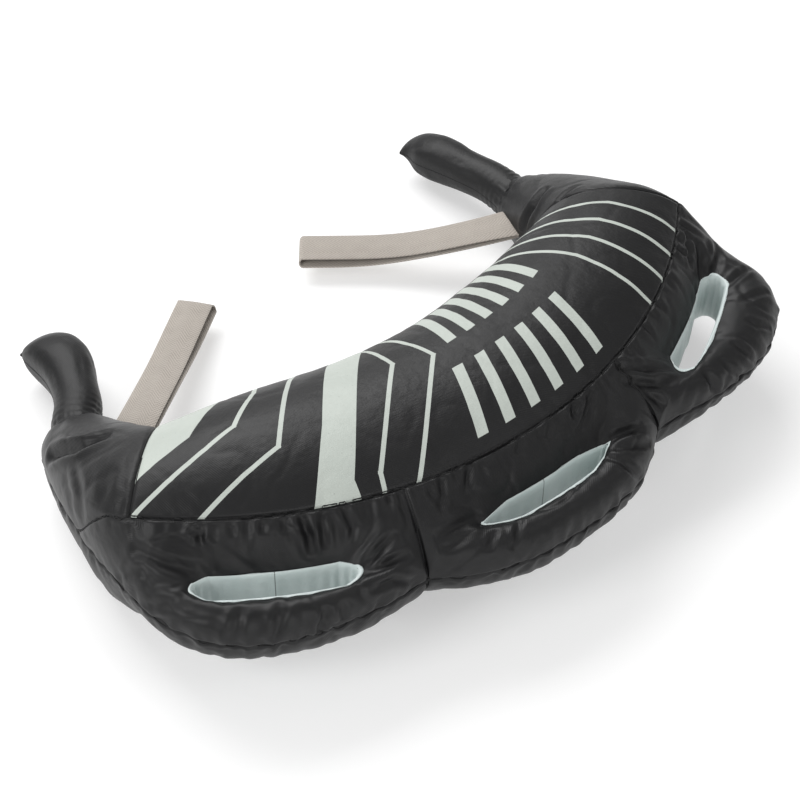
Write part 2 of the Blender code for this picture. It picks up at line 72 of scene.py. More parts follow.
# Grips: roots and ends, and sections of the stuffed form as x, y, z, half width, half height, turn in plan
roots = {-1: Vector((-0.283991, 0.232049, 0.045)), 1: Vector((0.296903, 0.231906, 0.045))}
tips = {-1: Vector((-0.234073, 0.380005, 0.0325)), 1: Vector((0.273985, 0.379942, 0.0325))}
flare_radius = 0.0340
collar_rows = ((0.0035, 0.0312), (0.0070, 0.0288), (0.0086, 0.0272), (0.0070, 0.0262))
grip_sections = {
    -1: ((-0.2912, 0.2105, 0.0467, 0.0140, 0.0140, -19), (-0.2880, 0.2200, 0.0459, 0.0225, 0.0225, -19),
         (-0.2840, 0.2320, 0.0450, 0.0258, 0.0258, -20), (-0.2745, 0.2500, 0.0446, 0.0250, 0.0248, -25),
         (-0.2575, 0.2745, 0.0438, 0.0246, 0.0240, -33), (-0.2465, 0.3015, 0.0415, 0.0262, 0.0255, -27),
         (-0.2390, 0.3246, 0.0380, 0.0305, 0.0290, -21), (-0.2362, 0.3475, 0.0355, 0.0325, 0.0290, -16),
         (-0.2375, 0.3660, 0.0338, 0.0300, 0.0240, -8), (-0.2425, 0.3775, 0.0330, 0.0225, 0.0150, 2),
         (-0.2525, 0.3815, 0.0326, 0.0105, 0.0062, 14), (-0.2615, 0.3822, 0.0324, 0.0016, 0.0012, 20)),
    1: ((0.3002, 0.2105, 0.0468, 0.0140, 0.0140, 9), (0.2987, 0.2201, 0.0460, 0.0225, 0.0225, 9),
        (0.2969, 0.2319, 0.0450, 0.0258, 0.0258, 8), (0.2985, 0.2500, 0.0446, 0.0248, 0.0246, 4),
        (0.2975, 0.2800, 0.0438, 0.0240, 0.0236, 8), (0.2900, 0.3140, 0.0420, 0.0240, 0.0236, 12),
        (0.2865, 0.3400, 0.0392, 0.0262, 0.0256, 15), (0.2815, 0.3635, 0.0365, 0.0268, 0.0250, 22),
        (0.2745, 0.3825, 0.0345, 0.0225, 0.0190, 34), (0.2680, 0.3925, 0.0336, 0.0130, 0.0100, 46),
        (0.2615, 0.3952, 0.0332, 0.0058, 0.0042, 56), (0.2568, 0.3955, 0.0330, 0.0012, 0.0010, 60)),
}

# Wrist webbing
webbing_width, webbing_thickness, strap_root_gap, strap_gap = 0.038, 0.0016, 0.0004, 0.0066
strap_sags = {-1: 0.004, 1: 0.012}
strap_roots = {-1: Vector((-0.246275, 0.192828, 0.062435)), 1: Vector((0.252883, 0.197000, 0.062435))}
strap_lines = {-1: Vector((-0.116885, 0.993145, 0)), 1: Vector((0.243882, 0.969805, 0))}
strap_tips = {-1: Vector((-0.070, 0.341, 0.023)), 1: Vector((0.070, 0.341, 0.023))}

# Single creases of the cloth: half width and depth, then places along it, in millimetres
crease_lines = (
    (7, 0.9, (-355, 115, 92), (-350, 126, 110), (-342, 152, 109)),
    (6, 1.1, (-356, 92, 116), (-346, 112, 129), (-332, 149, 122)),
    (8, 0.9, (-353, 71, 136), (-339, 79, 151), (-321, 99, 154)),
    (4, 0.8, (-344, 48, 152), (-334, 58, 159)),
    (7, 6.0, (-332, 196, 88), (-318, 157, 125), (-292, 140, 140)),
    (6, 4.0, (245, 168, 81), (252, 163, 112), (277, 166, 125)),
    (4, 1.4, (220, 109, 152), (255, 129, 145), (282, 125, 152)),
    (6, 3.0, (-348, 17, 133), (-336, -6, 130), (-314, -25, 117)),
    (6, 2.2, (-361, -14, 93), (-349, -34, 112), (-334, -42, 117)),
    (7, 2.0, (-360, -21, 75), (-355, -37, 100), (-343, -50, 111)),
    (5, 1.5, (-361, 18, 108), (-352, 6, 121), (-343, -9, 122)),
    (3.5, 2.0, (-300, -3, 150), (-305, -8, 144)),
    (3.5, 2.2, (-295, -7, 150), (-303, -16, 137)),
    (3.5, 1.8, (-290, -9, 150), (-296, -16, 143)),
    (3.5, 1.8, (-286, -13, 150), (-292, -22, 139)),
    (3.5, 1.5, (-272, -23, 150), (-277, -30, 142)),
    (4, 2.5, (-220, -56, 148), (-221, -66, 139), (-225, -75, 122)),
    (4, 2.0, (-206, -63, 148), (-209, -71, 140), (-213, -80, 125)),
    (4, 1.8, (-184, -71, 150), (-185, -83, 137), (-191, -89, 126)),
    (3.5, 1.5, (-251, -38, 149), (-254, -44, 143)),
    (3.5, 1.5, (-236, -48, 149), (-239, -55, 141)),
    (5, 3.0, (-192, -110, 116), (-177, -109, 126), (-154, -108, 135)),
    (5, 2.6, (-196, -116, 115), (-177, -121, 119), (-152, -125, 118)),
    (4, 1.8, (-200, -132, 110), (-180, -134, 110), (-159, -138, 95)),
    (4, 2.0, (-247, -123, 108), (-254, -127, 97), (-258, -126, 78)),
    (4, 2.0, (-232, -127, 109), (-233, -132, 92)),
    (5, 1.6, (-308, -82, 116), (-317, -88, 107), (-327, -88, 86)),
    (5, 1.4, (-278, -99, 117), (-286, -107, 109), (-296, -111, 93)),
    (6, 3.0, (-82, -129, 117), (-107, -130, 123), (-129, -128, 120)),
    (5, 2.0, (-100, -140, 116), (-118, -137, 114), (-131, -133, 115)),
    (4, 2.0, (-53, -157, 117), (-63, -165, 113), (-73, -171, 106)),
    (4, 1.8, (-79, -153, 116), (-86, -157, 113), (-94, -161, 108)),
    (5, 2.5, (86, -135, 116), (96, -137, 117), (119, -139, 113)),
    (5, 2.5, (79, -148, 117), (92, -153, 114), (116, -155, 101)),
    (4, 2.0, (65, -153, 117), (71, -165, 112), (86, -174, 91)),
    (4, 1.6, (-63, -100, 152), (-73, -108, 144), (-83, -114, 135)),
    (4, 1.8, (-96, -96, 150), (-101, -106, 142), (-112, -115, 135)),
    (4, 1.5, (-10, -106, 150), (-18, -112, 143)),
    (4, 1.5, (25, -107, 148), (17, -113, 141)),
    (4, 1.5, (63, -103, 150), (52, -111, 142)),
    (4, 1.8, (86, -100, 149), (72, -110, 142), (57, -120, 130)),
    (5, 3.0, (140, -113, 130), (150, -124, 119), (156, -134, 108)),
    (4, 2.2, (136, -104, 139), (151, -114, 129), (168, -126, 117)),
    (5, 3.0, (129, -93, 149), (155, -102, 138), (191, -106, 119)),
    (5, 2.5, (126, -105, 141), (151, -115, 129), (189, -119, 117)),
    (5, 2.4, (312, -25, 118), (322, -15, 126), (328, -2, 136)),
    (5, 2.4, (328, -30, 116), (343, -22, 120), (358, -3, 120)),
    (4, 2.0, (327, -54, 114), (346, -51, 117), (367, -48, 109)),
    (4, 2.0, (296, -23, 134), (308, -9, 140), (323, 10, 146)),
    (5, 2.4, (222, -140, 92), (219, -135, 107), (214, -124, 116)),
    (4, 2.0, (266, -138, 80), (248, -136, 103), (237, -124, 116)),
    (4, 1.8, (282, -136, 94), (272, -129, 109), (265, -113, 117)),
    (4, 1.6, (322, -117, 103), (306, -112, 113), (299, -99, 117)),
    (4, 1.6, (351, -83, 111), (330, -82, 117), (313, -78, 117)),
)

# Mesh density
seam_count, meeting_count, rim_count, ring_count, crown_count, end_count = 54, 14, 64, 23, 46, 36


# Grids of points

def mix(low, high, share):
    return low + (high - low) * share


def around(radius, angle, height):
    """Points at plan radii and angles round the centre of the bend."""
    radius, turn, height = np.broadcast_arrays(radius, np.radians(angle), height)
    return np.stack([radius * np.sin(turn), bend_y - radius * np.cos(turn), height], -1)


def under(points):
    """The points of the lower side below those of the upper side."""
    lower = points.copy()
    lower[..., 2] = np.maximum(0.0, mid_height - belly_share * (points[..., 2] - mid_height))
    return lower


def crown_rows():
    """Shares across the top, closer together by the main seam."""
    return np.linspace(0, 1, crown_count + 1) ** 1.2


def crown(angles, shares):
    """Points across the top of the body at these angles, from the main seam to the back edge."""
    angle, share = np.asarray(angles, float)[:, None], np.asarray(shares, float)[None, :]
    end = (angle / body_angle) ** 2
    left = angle < 0
    bulge = 4 * end * (1 - end)
    width = mix(middle_width, np.where(left, end_widths[-1], end_widths[1]), end)
    width = width + bulge * np.where(left, back_bulges[-1], back_bulges[1])
    top = seam_height + mix(crown_rise, np.where(left, end_rises[-1], end_rises[1]), end)
    top = top + bulge * np.where(left, crown_bulges[-1], crown_bulges[1])
    high = (8 * top - seam_height - mid_height) / 6
    back = seam_radius - width
    weights = [(1 - share) ** 3, 3 * (1 - share) ** 2 * share, 3 * (1 - share) * share ** 2, share ** 3]
    radius = sum(w * r for w, r in zip(weights, (seam_radius, seam_radius - front_share * width, back, back)))
    height = sum(w * z for w, z in zip(weights, (seam_height, high, high, mid_height)))
    return around(radius, angle, height)


def meeting(angle, reach):
    """Points from the main seam down to the perimeter, where a loop meets its neighbour."""
    share = np.sin(np.radians(90) * np.linspace(0, 1, meeting_count + 1))
    drop = (1 - share ** slope_share) ** (1 / slope_share)
    return around(seam_radius + reach * share, angle, mix(mid_height, seam_height, drop))


def smooth_curve(table, places, width=1.6):
    """A softened line through a table of places and values that keeps its two ends."""
    xs, ys = np.array(table).T
    spread = np.linspace(-width, width, 9)
    weight = 1 - np.abs(spread) / (width * 1.2)
    values = sum(w * np.interp(places + d, xs, ys) for w, d in zip(weight, spread)) / weight.sum()
    first, last = ys[0] - values[0], ys[-1] - values[-1]
    return values + mix(first, last, np.linspace(0, 1, len(places)))


class Loop:
    """The plan and edges of one hand loop."""

    def __init__(self, side):
        self.side, self.name = side, sides[side] + "_handle"
        self.first, self.last = (side * loop_angle, side * body_angle) if side else (-loop_angle, loop_angle)
        table = outlines[side]
        places = np.linspace(table[0][0], table[-1][0], rim_count + 1)
        reach = smooth_curve(table, places) - seam_radius
        ripple = np.sin(places * 2.9 + side) * 0.0010 + np.sin(places * 5.3) * 0.0006
        self.reach = reach + ripple * np.sin(np.linspace(0, np.pi, rim_count + 1))
        self.middle, self.slot_reach = (self.first + self.last) / 2, slot_reaches[side]

    def edge(self):
        """Points round the edge of the cover: up, along the main seam, down and back."""
        up = meeting(self.first, self.reach[0])[::-1]
        seam = around(seam_radius, np.linspace(self.first, self.last, seam_count + 1), seam_height)
        down = meeting(self.last, self.reach[-1])
        back = around(seam_radius + self.reach, np.linspace(self.first, self.last, rim_count + 1), mid_height)[::-1]
        return np.concatenate([up[:-1], seam[:-1], down[:-1], back[:-1]])

    def turns(self, fineness=1):
        """Turns round the slot that face the points of the edge."""
        parts = ((180 + corner_angle, 180 - corner_angle, meeting_count), (180 - corner_angle, corner_angle, seam_count),
                 (corner_angle, -corner_angle, meeting_count), (-corner_angle, corner_angle - 180, rim_count))
        return np.concatenate([np.linspace(a, b, fineness * n + 1)[:-1] for a, b, n in parts])

    def rim(self, widening, height, turns=None):
        """Points round the slot."""
        turn = np.radians(self.turns() if turns is None else turns)
        cosine, sine = np.cos(turn), np.sin(turn)
        radius = seam_radius + self.slot_reach
        along = np.degrees((slot_lengths[self.side] / 2 + widening) / radius) * (self.side or 1)
        tip, bluntness = slot_tips[self.side]
        profile = np.clip((1 - np.abs(cosine)) / tip, 0, 1) ** bluntness
        across = (slot_widths[self.side] / 2 + widening) * np.sign(sine) * profile
        return around(radius - across, self.middle + along * cosine, height)

    def cover(self):
        """The upper cover from the slot's rim to its edge, one row of points for each spoke."""
        inner, outer = self.rim(0.0006, mid_height + slot_rise)[:, None], self.edge()[:, None]
        share = 1 - (1 - np.linspace(0, 1, ring_count + 1)[None, :]) ** 1.2
        start = math.pi - math.asin(slot_rise / loop_half_thickness)
        turn = start * (1 - share)
        part = (outer[..., 2] - mid_height) / (seam_height - mid_height)
        round_share = (np.cos(turn) - math.cos(start)) / (1 - math.cos(start))
        round_height = mix(mid_height, outer[..., 2], share) + loop_half_thickness * np.sin(turn)
        steep_height = mix(inner[..., 2], outer[..., 2], share) + seam_puff * np.sin(np.pi * share)
        grid = mix(inner, outer, mix(round_share, share, part)[..., None])
        grid[..., 2] = mix(round_height, steep_height, part)
        return grid


class End:
    """One end of the body, between its end seam and the root of its grip."""

    def __init__(self, side):
        self.side, self.name = side, sides[side]
        self.root, self.axis = roots[side], (tips[side] - roots[side]).normalized()
        self.shares = np.linspace(0, 1, end_count + 1) ** end_spread
        self.out = Vector((self.axis.y, -self.axis.x, 0)).normalized() * side
        self.up = self.out.cross(self.axis).normalized() * side

    def frame(self, along, across, height):
        """Points at distances from the root along the grip, outwards and up."""
        along, across, height = np.broadcast_arrays(along, across, height)
        return (np.array(self.root) + along[..., None] * np.array(self.axis)
                + across[..., None] * np.array(self.out) + height[..., None] * np.array(self.up))

    def rows(self, starts, angles, leans, upper, shares):
        """Rows across an end, at these shares of the way from the end seam to the opening."""
        first = starts if upper else under(starts)
        turn = np.radians(angles if upper else -angles)
        last = self.frame(0, flare_radius * np.cos(turn), flare_radius * np.sin(turn))
        bend = np.array((self.side * math.cos(math.radians(body_angle)), math.sin(math.radians(body_angle)), 0))
        leave = mix(np.array((0.0, 1.0, 0.0)), bend, leans[:, None])
        span = np.linalg.norm(last - first, axis=-1, keepdims=True)
        leave = leave / np.linalg.norm(leave, axis=-1, keepdims=True) * span * leave_shares[self.side]
        arrive = (0.75 * (np.array(self.root) - last) / flare_radius + 0.66 * np.array(self.axis)) * span * tuck_share
        t = np.asarray(shares)[:, None, None]
        grid = (first * (2 * t ** 3 - 3 * t ** 2 + 1) + leave * (t ** 3 - 2 * t ** 2 + t)
                + last * (3 * t ** 2 - 2 * t ** 3) + arrive * (t ** 3 - t ** 2))
        collar = [self.frame(along, r * np.cos(turn), r * np.sin(turn)) for along, r in collar_rows]
        grid = np.concatenate([grid, np.stack(collar)])
        grid[..., 2] = np.maximum(0.0, grid[..., 2])
        return grid

    def strip(self, upper, reach):
        """The side strip, from the main seam's height to the perimeter seam. Above, the loop's cover ends on its
        diagonal and the end panel takes the rest, so the points beside the diagonal are moved onto it."""
        leans = 1 - np.linspace(0, 1, meeting_count + 1)
        grid = self.rows(meeting(self.side * body_angle, reach), strip_angle * leans, leans, upper, self.shares)
        if upper:
            for step in range(1, len(grid)):
                power = 1 + seam_lift * min(1.0, step / 4)
                places = meeting_count * (np.arange(meeting_count + 1) / meeting_count) ** power
                grid[step] = np.stack([np.interp(places, np.arange(meeting_count + 1), grid[step, :, k]) for k in range(3)], -1)
            old = grid.copy()
            for row in range(meeting_count):
                grid[row + 1, row] = old[row:row + 2, row:row + 2].mean((0, 1))
                grid[row + 2, row] = mix(old[row + 2, row], mix(old[row + 1, row + 1], old[row + 2, row + 1], 0.5), 0.25)
        return grid

    def seam(self, grid, upper):
        """The line on a strip where the loop's cover ends."""
        if not upper:
            return grid[:, 0]
        stops = [grid[0, 0]]
        for row in range(meeting_count):
            stops += [grid[row + 1, row], grid[row + 1, row + 1]]
        return np.array(stops)

    def cap(self, upper, strip):
        """The end panel, from the main seam to the back edge."""
        shares = crown_rows()
        grid = self.rows(crown([self.side * body_angle], shares)[0], mix(strip_angle, 180.0, shares),
                         np.ones(crown_count + 1), upper, self.shares)
        grid[:, 0] = strip[:, 0]
        return grid


# The sewn shell

class Shell:
    """Panels of cloth that share their seams."""

    def __init__(self):
        self.points, self.faces, self.panels, self.cloth, self.print = [], [], [], [], []
        self.count = 0

    def add(self, grid, panel, cloth, upper, print_uv=None, joined=False, kept=None):
        """Add a grid of points as a panel, facing up or down, with its cloth coordinates."""
        rows, columns = grid.shape[:2]
        index = np.arange(rows * columns).reshape(rows, columns)
        if joined:
            index = np.concatenate([index, index[:1]])
        quads = np.stack([index[:-1, :-1], index[1:, :-1], index[1:, 1:], index[:-1, 1:]], -1).reshape(-1, 4)
        places = grid.reshape(-1, 3)
        flat = np.cross(places[quads[:, 2]] - places[quads[:, 0]], places[quads[:, 3]] - places[quads[:, 1]])
        if (flat[:, 2].sum() > 0) != upper:
            quads = quads[:, ::-1]
        quads = (quads if kept is None else quads[kept.reshape(-1)]) + self.count
        self.points.append(grid.reshape(-1, 3))
        self.faces.append(quads)
        self.panels.append(np.full(len(quads), panel))
        self.cloth.append(cloth.reshape(-1, 2))
        self.print.append((print_uv if print_uv is not None else np.full(cloth.shape, 9.0)).reshape(-1, 2))
        self.count += rows * columns

    def weld(self):
        """Join the points that panels share; keeps each panel's own cloth coordinates by corner."""
        points, faces = np.concatenate(self.points), np.concatenate(self.faces)
        self.panels = np.concatenate(self.panels)
        self.cloth_uv, self.print_uv = np.concatenate(self.cloth)[faces], np.concatenate(self.print)[faces]
        keys = np.round(points / 1e-5 + 0.27).astype(np.int64)
        _, first, inverse = np.unique(keys, axis=0, return_index=True, return_inverse=True)
        self.points, self.faces = points[first], inverse.reshape(-1)[faces]


def unrolled(grid, angle):
    """Cloth coordinates in metres: along and away from the bend, with the slope laid flat."""
    turn = math.radians(angle)
    along = grid[..., 0] * math.cos(turn) + grid[..., 1] * math.sin(turn)
    away = grid[..., 0] * math.sin(turn) - grid[..., 1] * math.cos(turn) - 0.8 * grid[..., 2]
    return np.stack([along, away], -1)


panel_names = ["top_cloth", "bottom_cloth"]


def panel_of(name):
    if name not in panel_names:
        panel_names.append(name)
    return panel_names.index(name)


shell = Shell()
loops, ends = {side: Loop(side) for side in sides}, {side: End(side) for side in (-1, 1)}
angles = np.unique(np.round(np.concatenate([np.linspace(a, b, seam_count + 1) for a, b in
                                            ((-45, -15.6), (-15.6, 15.6), (15.6, 45))]), 9))
shares = crown_rows()
top = crown(angles, shares)
across = np.concatenate([np.zeros((len(angles), 1)),
                         np.cumsum(np.linalg.norm(np.diff(top, axis=1), axis=-1), axis=1)], axis=1)
top_uv = np.stack(np.broadcast_arrays(np.radians(angles)[:, None] * 0.40, across), -1)
turns = np.radians(angles)[:, None]
print_uv = np.stack([(seam_radius - across) * np.sin(turns), (seam_radius - across) * np.cos(turns)], -1)
shell.add(top, 0, top_uv, True, print_uv)
shell.add(under(top), 1, top_uv + 2.0, False)
strips = {}
for side, loop in loops.items():
    for upper in (True, False):
        cover = loop.cover() if upper else under(loop.cover())
        panel = panel_of(loop.name + ("_upper_cloth" if upper else "_lower_cloth"))
        shell.add(cover, panel, unrolled(cover, loop.middle), upper, joined=True)
        if side:
            strip = strips[side, upper] = ends[side].strip(upper, loop.reach[-1])
            step, row = np.mgrid[:len(strip) - 1, :meeting_count]
            kept = (step <= row) if upper else (step >= 0)
            shell.add(strip, panel, unrolled(strip, loop.middle), upper, kept=kept)
for side, end in ends.items():
    for upper in (True, False):
        strip = strips[side, upper]
        cap = end.cap(upper, strip)
        panel = panel_of(end.name + ("_end_upper_cloth" if upper else "_end_lower_cloth"))
        shell.add(cap, panel, unrolled(cap, side * 70), upper)
        if upper:
            shell.add(strip, panel, unrolled(strip, side * 70), upper, kept=step > row)
shell.weld()


def corner_sets(faces, panels, count):
    """How many panels meet at each point, and which points lie on an open edge."""
    pairs = np.unique(np.stack([faces.reshape(-1), np.repeat(panels, 4)], -1), axis=0)
    meet = np.bincount(pairs[:, 0], minlength=count)
    edges = np.sort(np.concatenate([faces[:, [0, 1]], faces[:, [1, 2]], faces[:, [2, 3]], faces[:, [3, 0]]]), axis=1)
    found, uses = np.unique(edges, axis=0, return_counts=True)
    open_points = np.zeros(count, bool)
    open_points[found[uses == 1].reshape(-1)] = True
    return meet, open_points


def normals_of(points, faces):
    """Unit normals at points, from the quads round them."""
    a, b = points[faces[:, 2]] - points[faces[:, 0]], points[faces[:, 3]] - points[faces[:, 1]]
    flat = np.cross(a, b)
    total = np.zeros_like(points)
    for corner in range(4):
        np.add.at(total, faces[:, corner], flat)
    return total / np.maximum(np.linalg.norm(total, axis=1, keepdims=True), 1e-12)


def nearest(places, points):
    """Distance from each point to the nearest of some places."""
    tree = kdtree.KDTree(len(places))
    for index, place in enumerate(places):
        tree.insert(place, index)
    tree.balance()
    return np.array([tree.find(point)[2] for point in points])


def wobble(points, size, seed):
    """A smooth random height between -1 and 1, repeated the same way each run."""
    return np.array([noise.noise(Vector(point) / size + Vector((seed, 0, 0))) for point in points])


# Cloth under pressure

def set_group(item, name, weights):
    group = item.vertex_groups.new(name=name)
    levels = np.round(weights * 40) / 40
    for level in np.unique(levels):
        group.add(np.where(levels == level)[0].tolist(), float(level), "REPLACE")


def inflate(points, faces, pins, gathers, pressure, reach, frames=18, grow=-0.09, bending=0.04):
    """Let a sewn cover swell round its filling: pinned along its seams, gathered beside them."""
    mesh = bpy.data.meshes.new("cover")
    mesh.from_pydata(points.tolist(), [], faces.tolist())
    item = bpy.data.objects.new("cover", mesh)
    bpy.context.scene.collection.objects.link(item)
    set_group(item, "pins", pins)
    set_group(item, "gathers", gathers)
    cloth = item.modifiers.new("cloth", "CLOTH")
    settings = cloth.settings
    settings.quality = 5
    settings.mass = 0.02
    settings.tension_stiffness = settings.compression_stiffness = 12
    settings.shear_stiffness = 5
    settings.bending_stiffness = bending
    settings.tension_damping = settings.compression_damping = settings.shear_damping = 4
    settings.air_damping = 3
    settings.vertex_group_mass = "pins"
    settings.vertex_group_shrink = "gathers"
    settings.shrink_min, settings.shrink_max = 0.0, grow
    settings.use_pressure = True
    settings.uniform_pressure_force = pressure
    settings.effector_weights.gravity = 0.0
    cloth.collision_settings.use_collision = False
    cloth.point_cache.frame_start, cloth.point_cache.frame_end = 1, frames
    for step in range(1, frames + 1):
        bpy.context.scene.frame_set(step)
    moved = item.evaluated_get(bpy.context.evaluated_depsgraph_get()).to_mesh()
    result = np.empty(len(points) * 3)
    moved.vertices.foreach_get("co", result)
    result = result.reshape(-1, 3)
    bpy.data.objects.remove(item, do_unlink=True)
    bpy.context.scene.frame_set(1)
    shift = result - points
    length = np.linalg.norm(shift, axis=1, keepdims=True)
    return points + shift * np.minimum(1, reach / np.maximum(length, 1e-9))


def relax(points, faces, weight, rounds):
    """Move points towards their neighbours, as far as each point's weight lets them."""
    pairs = np.concatenate([faces[:, [0, 1]], faces[:, [1, 2]], faces[:, [2, 3]], faces[:, [3, 0]]])
    pairs = np.unique(np.concatenate([pairs, pairs[:, ::-1]]), axis=0)
    uses = np.bincount(pairs[:, 0], minlength=len(points))
    for _ in range(rounds):
        total = [np.bincount(pairs[:, 0], points[pairs[:, 1], axis], len(points)) for axis in range(3)]
        points = points + (np.stack(total, -1) / uses[:, None] - points) * weight[:, None]
    return points


meet, open_points = corner_sets(shell.faces, shell.panels, len(shell.points))
seams = (meet > 1) | open_points
corners = np.concatenate([form(meeting(side * body_angle, loops[side].reach[-1])[1:]) for side in ends for form in (np.copy, under)])
round_share = np.exp(-(nearest(corners, shell.points) / 0.024) ** 2) * ~seams
points = relax(shell.points, shell.faces, 0.5 * round_share, 60)
reach_to_seam = nearest(points[seams], points)
point_panel = np.zeros(len(points), int)
point_panel[shell.faces.reshape(-1)] = np.repeat(shell.panels, 4)
strength = np.array([0.15, 0.25] + [0.8 if "handle" in name else 0.6 for name in panel_names[2:]])[point_panel]
gathers = np.clip(np.exp(-(reach_to_seam / 0.020) ** 2) + 0.25, 0, 1) * strength
gathers *= 0.78 + 0.22 * wobble(points, 0.030, 8.0)
points += normals_of(points, shell.faces) * (wobble(points, 0.018, 3.0) * 0.0005 * (1 - seams))[:, None]
points = inflate(points, shell.faces, seams.astype(float), gathers, 4.0, 0.010)
points[:, 2] = np.maximum(points[:, 2], 0.0)


# Finer cloth with its folds

def refined(points, shell):
    """The whole shell divided once, so that panels still meet along their seams."""
    mesh = bpy.data.meshes.new("cover")
    mesh.from_pydata(points.tolist(), [], shell.faces.tolist())
    mesh.attributes.new("panel", "INT", "FACE").data.foreach_set("value", shell.panels.astype(np.int32))
    for name, corners in (("cloth", shell.cloth_uv), ("print", shell.print_uv)):
        mesh.uv_layers.new(name=name).data.foreach_set("uv", np.ascontiguousarray(corners, np.float32).reshape(-1))
    item = bpy.data.objects.new("cover", mesh)
    bpy.context.scene.collection.objects.link(item)
    divide = item.modifiers.new("divide", "SUBSURF")
    divide.levels = divide.render_levels = 1
    fine = item.evaluated_get(bpy.context.evaluated_depsgraph_get()).to_mesh()
    count = len(fine.polygons)
    places, corners, panels = np.empty(len(fine.vertices) * 3), np.empty(count * 4, np.int32), np.empty(count, np.int32)
    fine.vertices.foreach_get("co", places)
    fine.loops.foreach_get("vertex_index", corners)
    fine.attributes["panel"].data.foreach_get("value", panels)
    layers = []
    for name in ("cloth", "print"):
        flat = np.empty(count * 8, np.float32)
        fine.uv_layers[name].data.foreach_get("uv", flat)
        layers.append(flat.reshape(-1, 4, 2))
    bpy.data.objects.remove(item, do_unlink=True)
    return places.reshape(-1, 3), corners.reshape(-1, 4), panels, layers


points, shell.faces, shell.panels, (shell.cloth_uv, shell.print_uv) = refined(points, shell)
meet, open_points = corner_sets(shell.faces, shell.panels, len(points))
point_panel = np.zeros(len(points), int)
point_panel[shell.faces.reshape(-1)] = np.repeat(shell.panels, 4)
is_handle = np.array(["handle" in name for name in panel_names])[point_panel]
is_end = np.array(["end" in name for name in panel_names])[point_panel]
is_upper = np.array(["lower" not in name and name != "bottom_cloth" for name in panel_names])[point_panel]


def surface_of(points, faces):
    return bvhtree.BVHTree.FromPolygons([tuple(point) for point in points], faces.tolist())


def dense(line, step=0.0006):
    """A line resampled at small even steps."""
    line = np.asarray(line, float)
    run = np.concatenate([[0], np.cumsum(np.linalg.norm(np.diff(line, axis=0), axis=1))])
    places = np.arange(0, run[-1], step)
    return np.stack([np.interp(places, run, line[:, axis]) for axis in range(3)], -1), places


def beside(line, step=0.0006):
    """For each point of the cloth: how far along a seam it lies and how far from it."""
    curve, run = dense(line, step)
    tree = kdtree.KDTree(len(curve))
    for index, place in enumerate(curve):
        tree.insert(place, index)
    tree.balance()
    found = [tree.find(point) for point in points]
    return run[np.array([item[1] for item in found])], np.array([item[2] for item in found])


def folds(along, away, spacing, length, depth, seed, slant=0.25, width=0.0034):
    """Uneven folds that start at a seam and fade out away from it."""
    chance = np.random.RandomState(seed)
    height = np.zeros(len(along))
    near = away < length * 1.6
    u, d = along[near], away[near]
    total, place = np.zeros(len(u)), 0.0
    while place < along.max():
        place += spacing * chance.uniform(0.45, 1.6)
        reach, strong = length * chance.uniform(0.35, 1.25), depth * chance.uniform(0.35, 1.3)
        wide, lean = width * chance.uniform(0.7, 1.6), chance.uniform(-slant, slant)
        bow = chance.uniform(-6, 6)
        offset = u - (place + lean * d + bow * d ** 2)
        shape = np.exp(-(offset / wide) ** 2) - 0.45 * np.exp(-((offset - 1.9 * wide) / (1.3 * wide)) ** 2)
        fade = np.clip(1 - d / reach, 0, 1) ** 1.5 * (1 - np.exp(-(d / 0.0035) ** 2))
        total -= strong * shape * fade * (1 + 0.6 * d / length)
    height[near] = total
    return height


def creases(lines, allowed):
    """Single creases along lines of points, each with its half width and depth, deepest at its first end."""
    height, skin = np.zeros(len(points)), surface_of(points, shell.faces)
    for wide, deep, *stops in lines:
        line, _ = dense(np.array(stops) / 1000, 0.001)
        line = np.array([skin.find_nearest(Vector(place))[0] for place in line])
        low, high = line.min(0) - 0.02, line.max(0) + 0.02
        near = np.where(((points > low) & (points < high)).all(1) & allowed)[0]
        if not len(near):
            continue
        gaps = np.linalg.norm(points[near][:, None, :] - line[None], axis=-1)
        best = gaps.argmin(1)
        d, share = gaps[np.arange(len(near)), best] / (0.88 * wide / 1000), best / max(1, len(line) - 1)
        fade = np.sin(np.pi * np.clip(share * 0.9 + 0.1, 0, 1)) ** 0.6
        height[near] -= 1.4 * deep / 1000 * fade * (np.exp(-d ** 2) - 0.42 * np.exp(-((d - 1.9) / 0.9) ** 2))
    return height


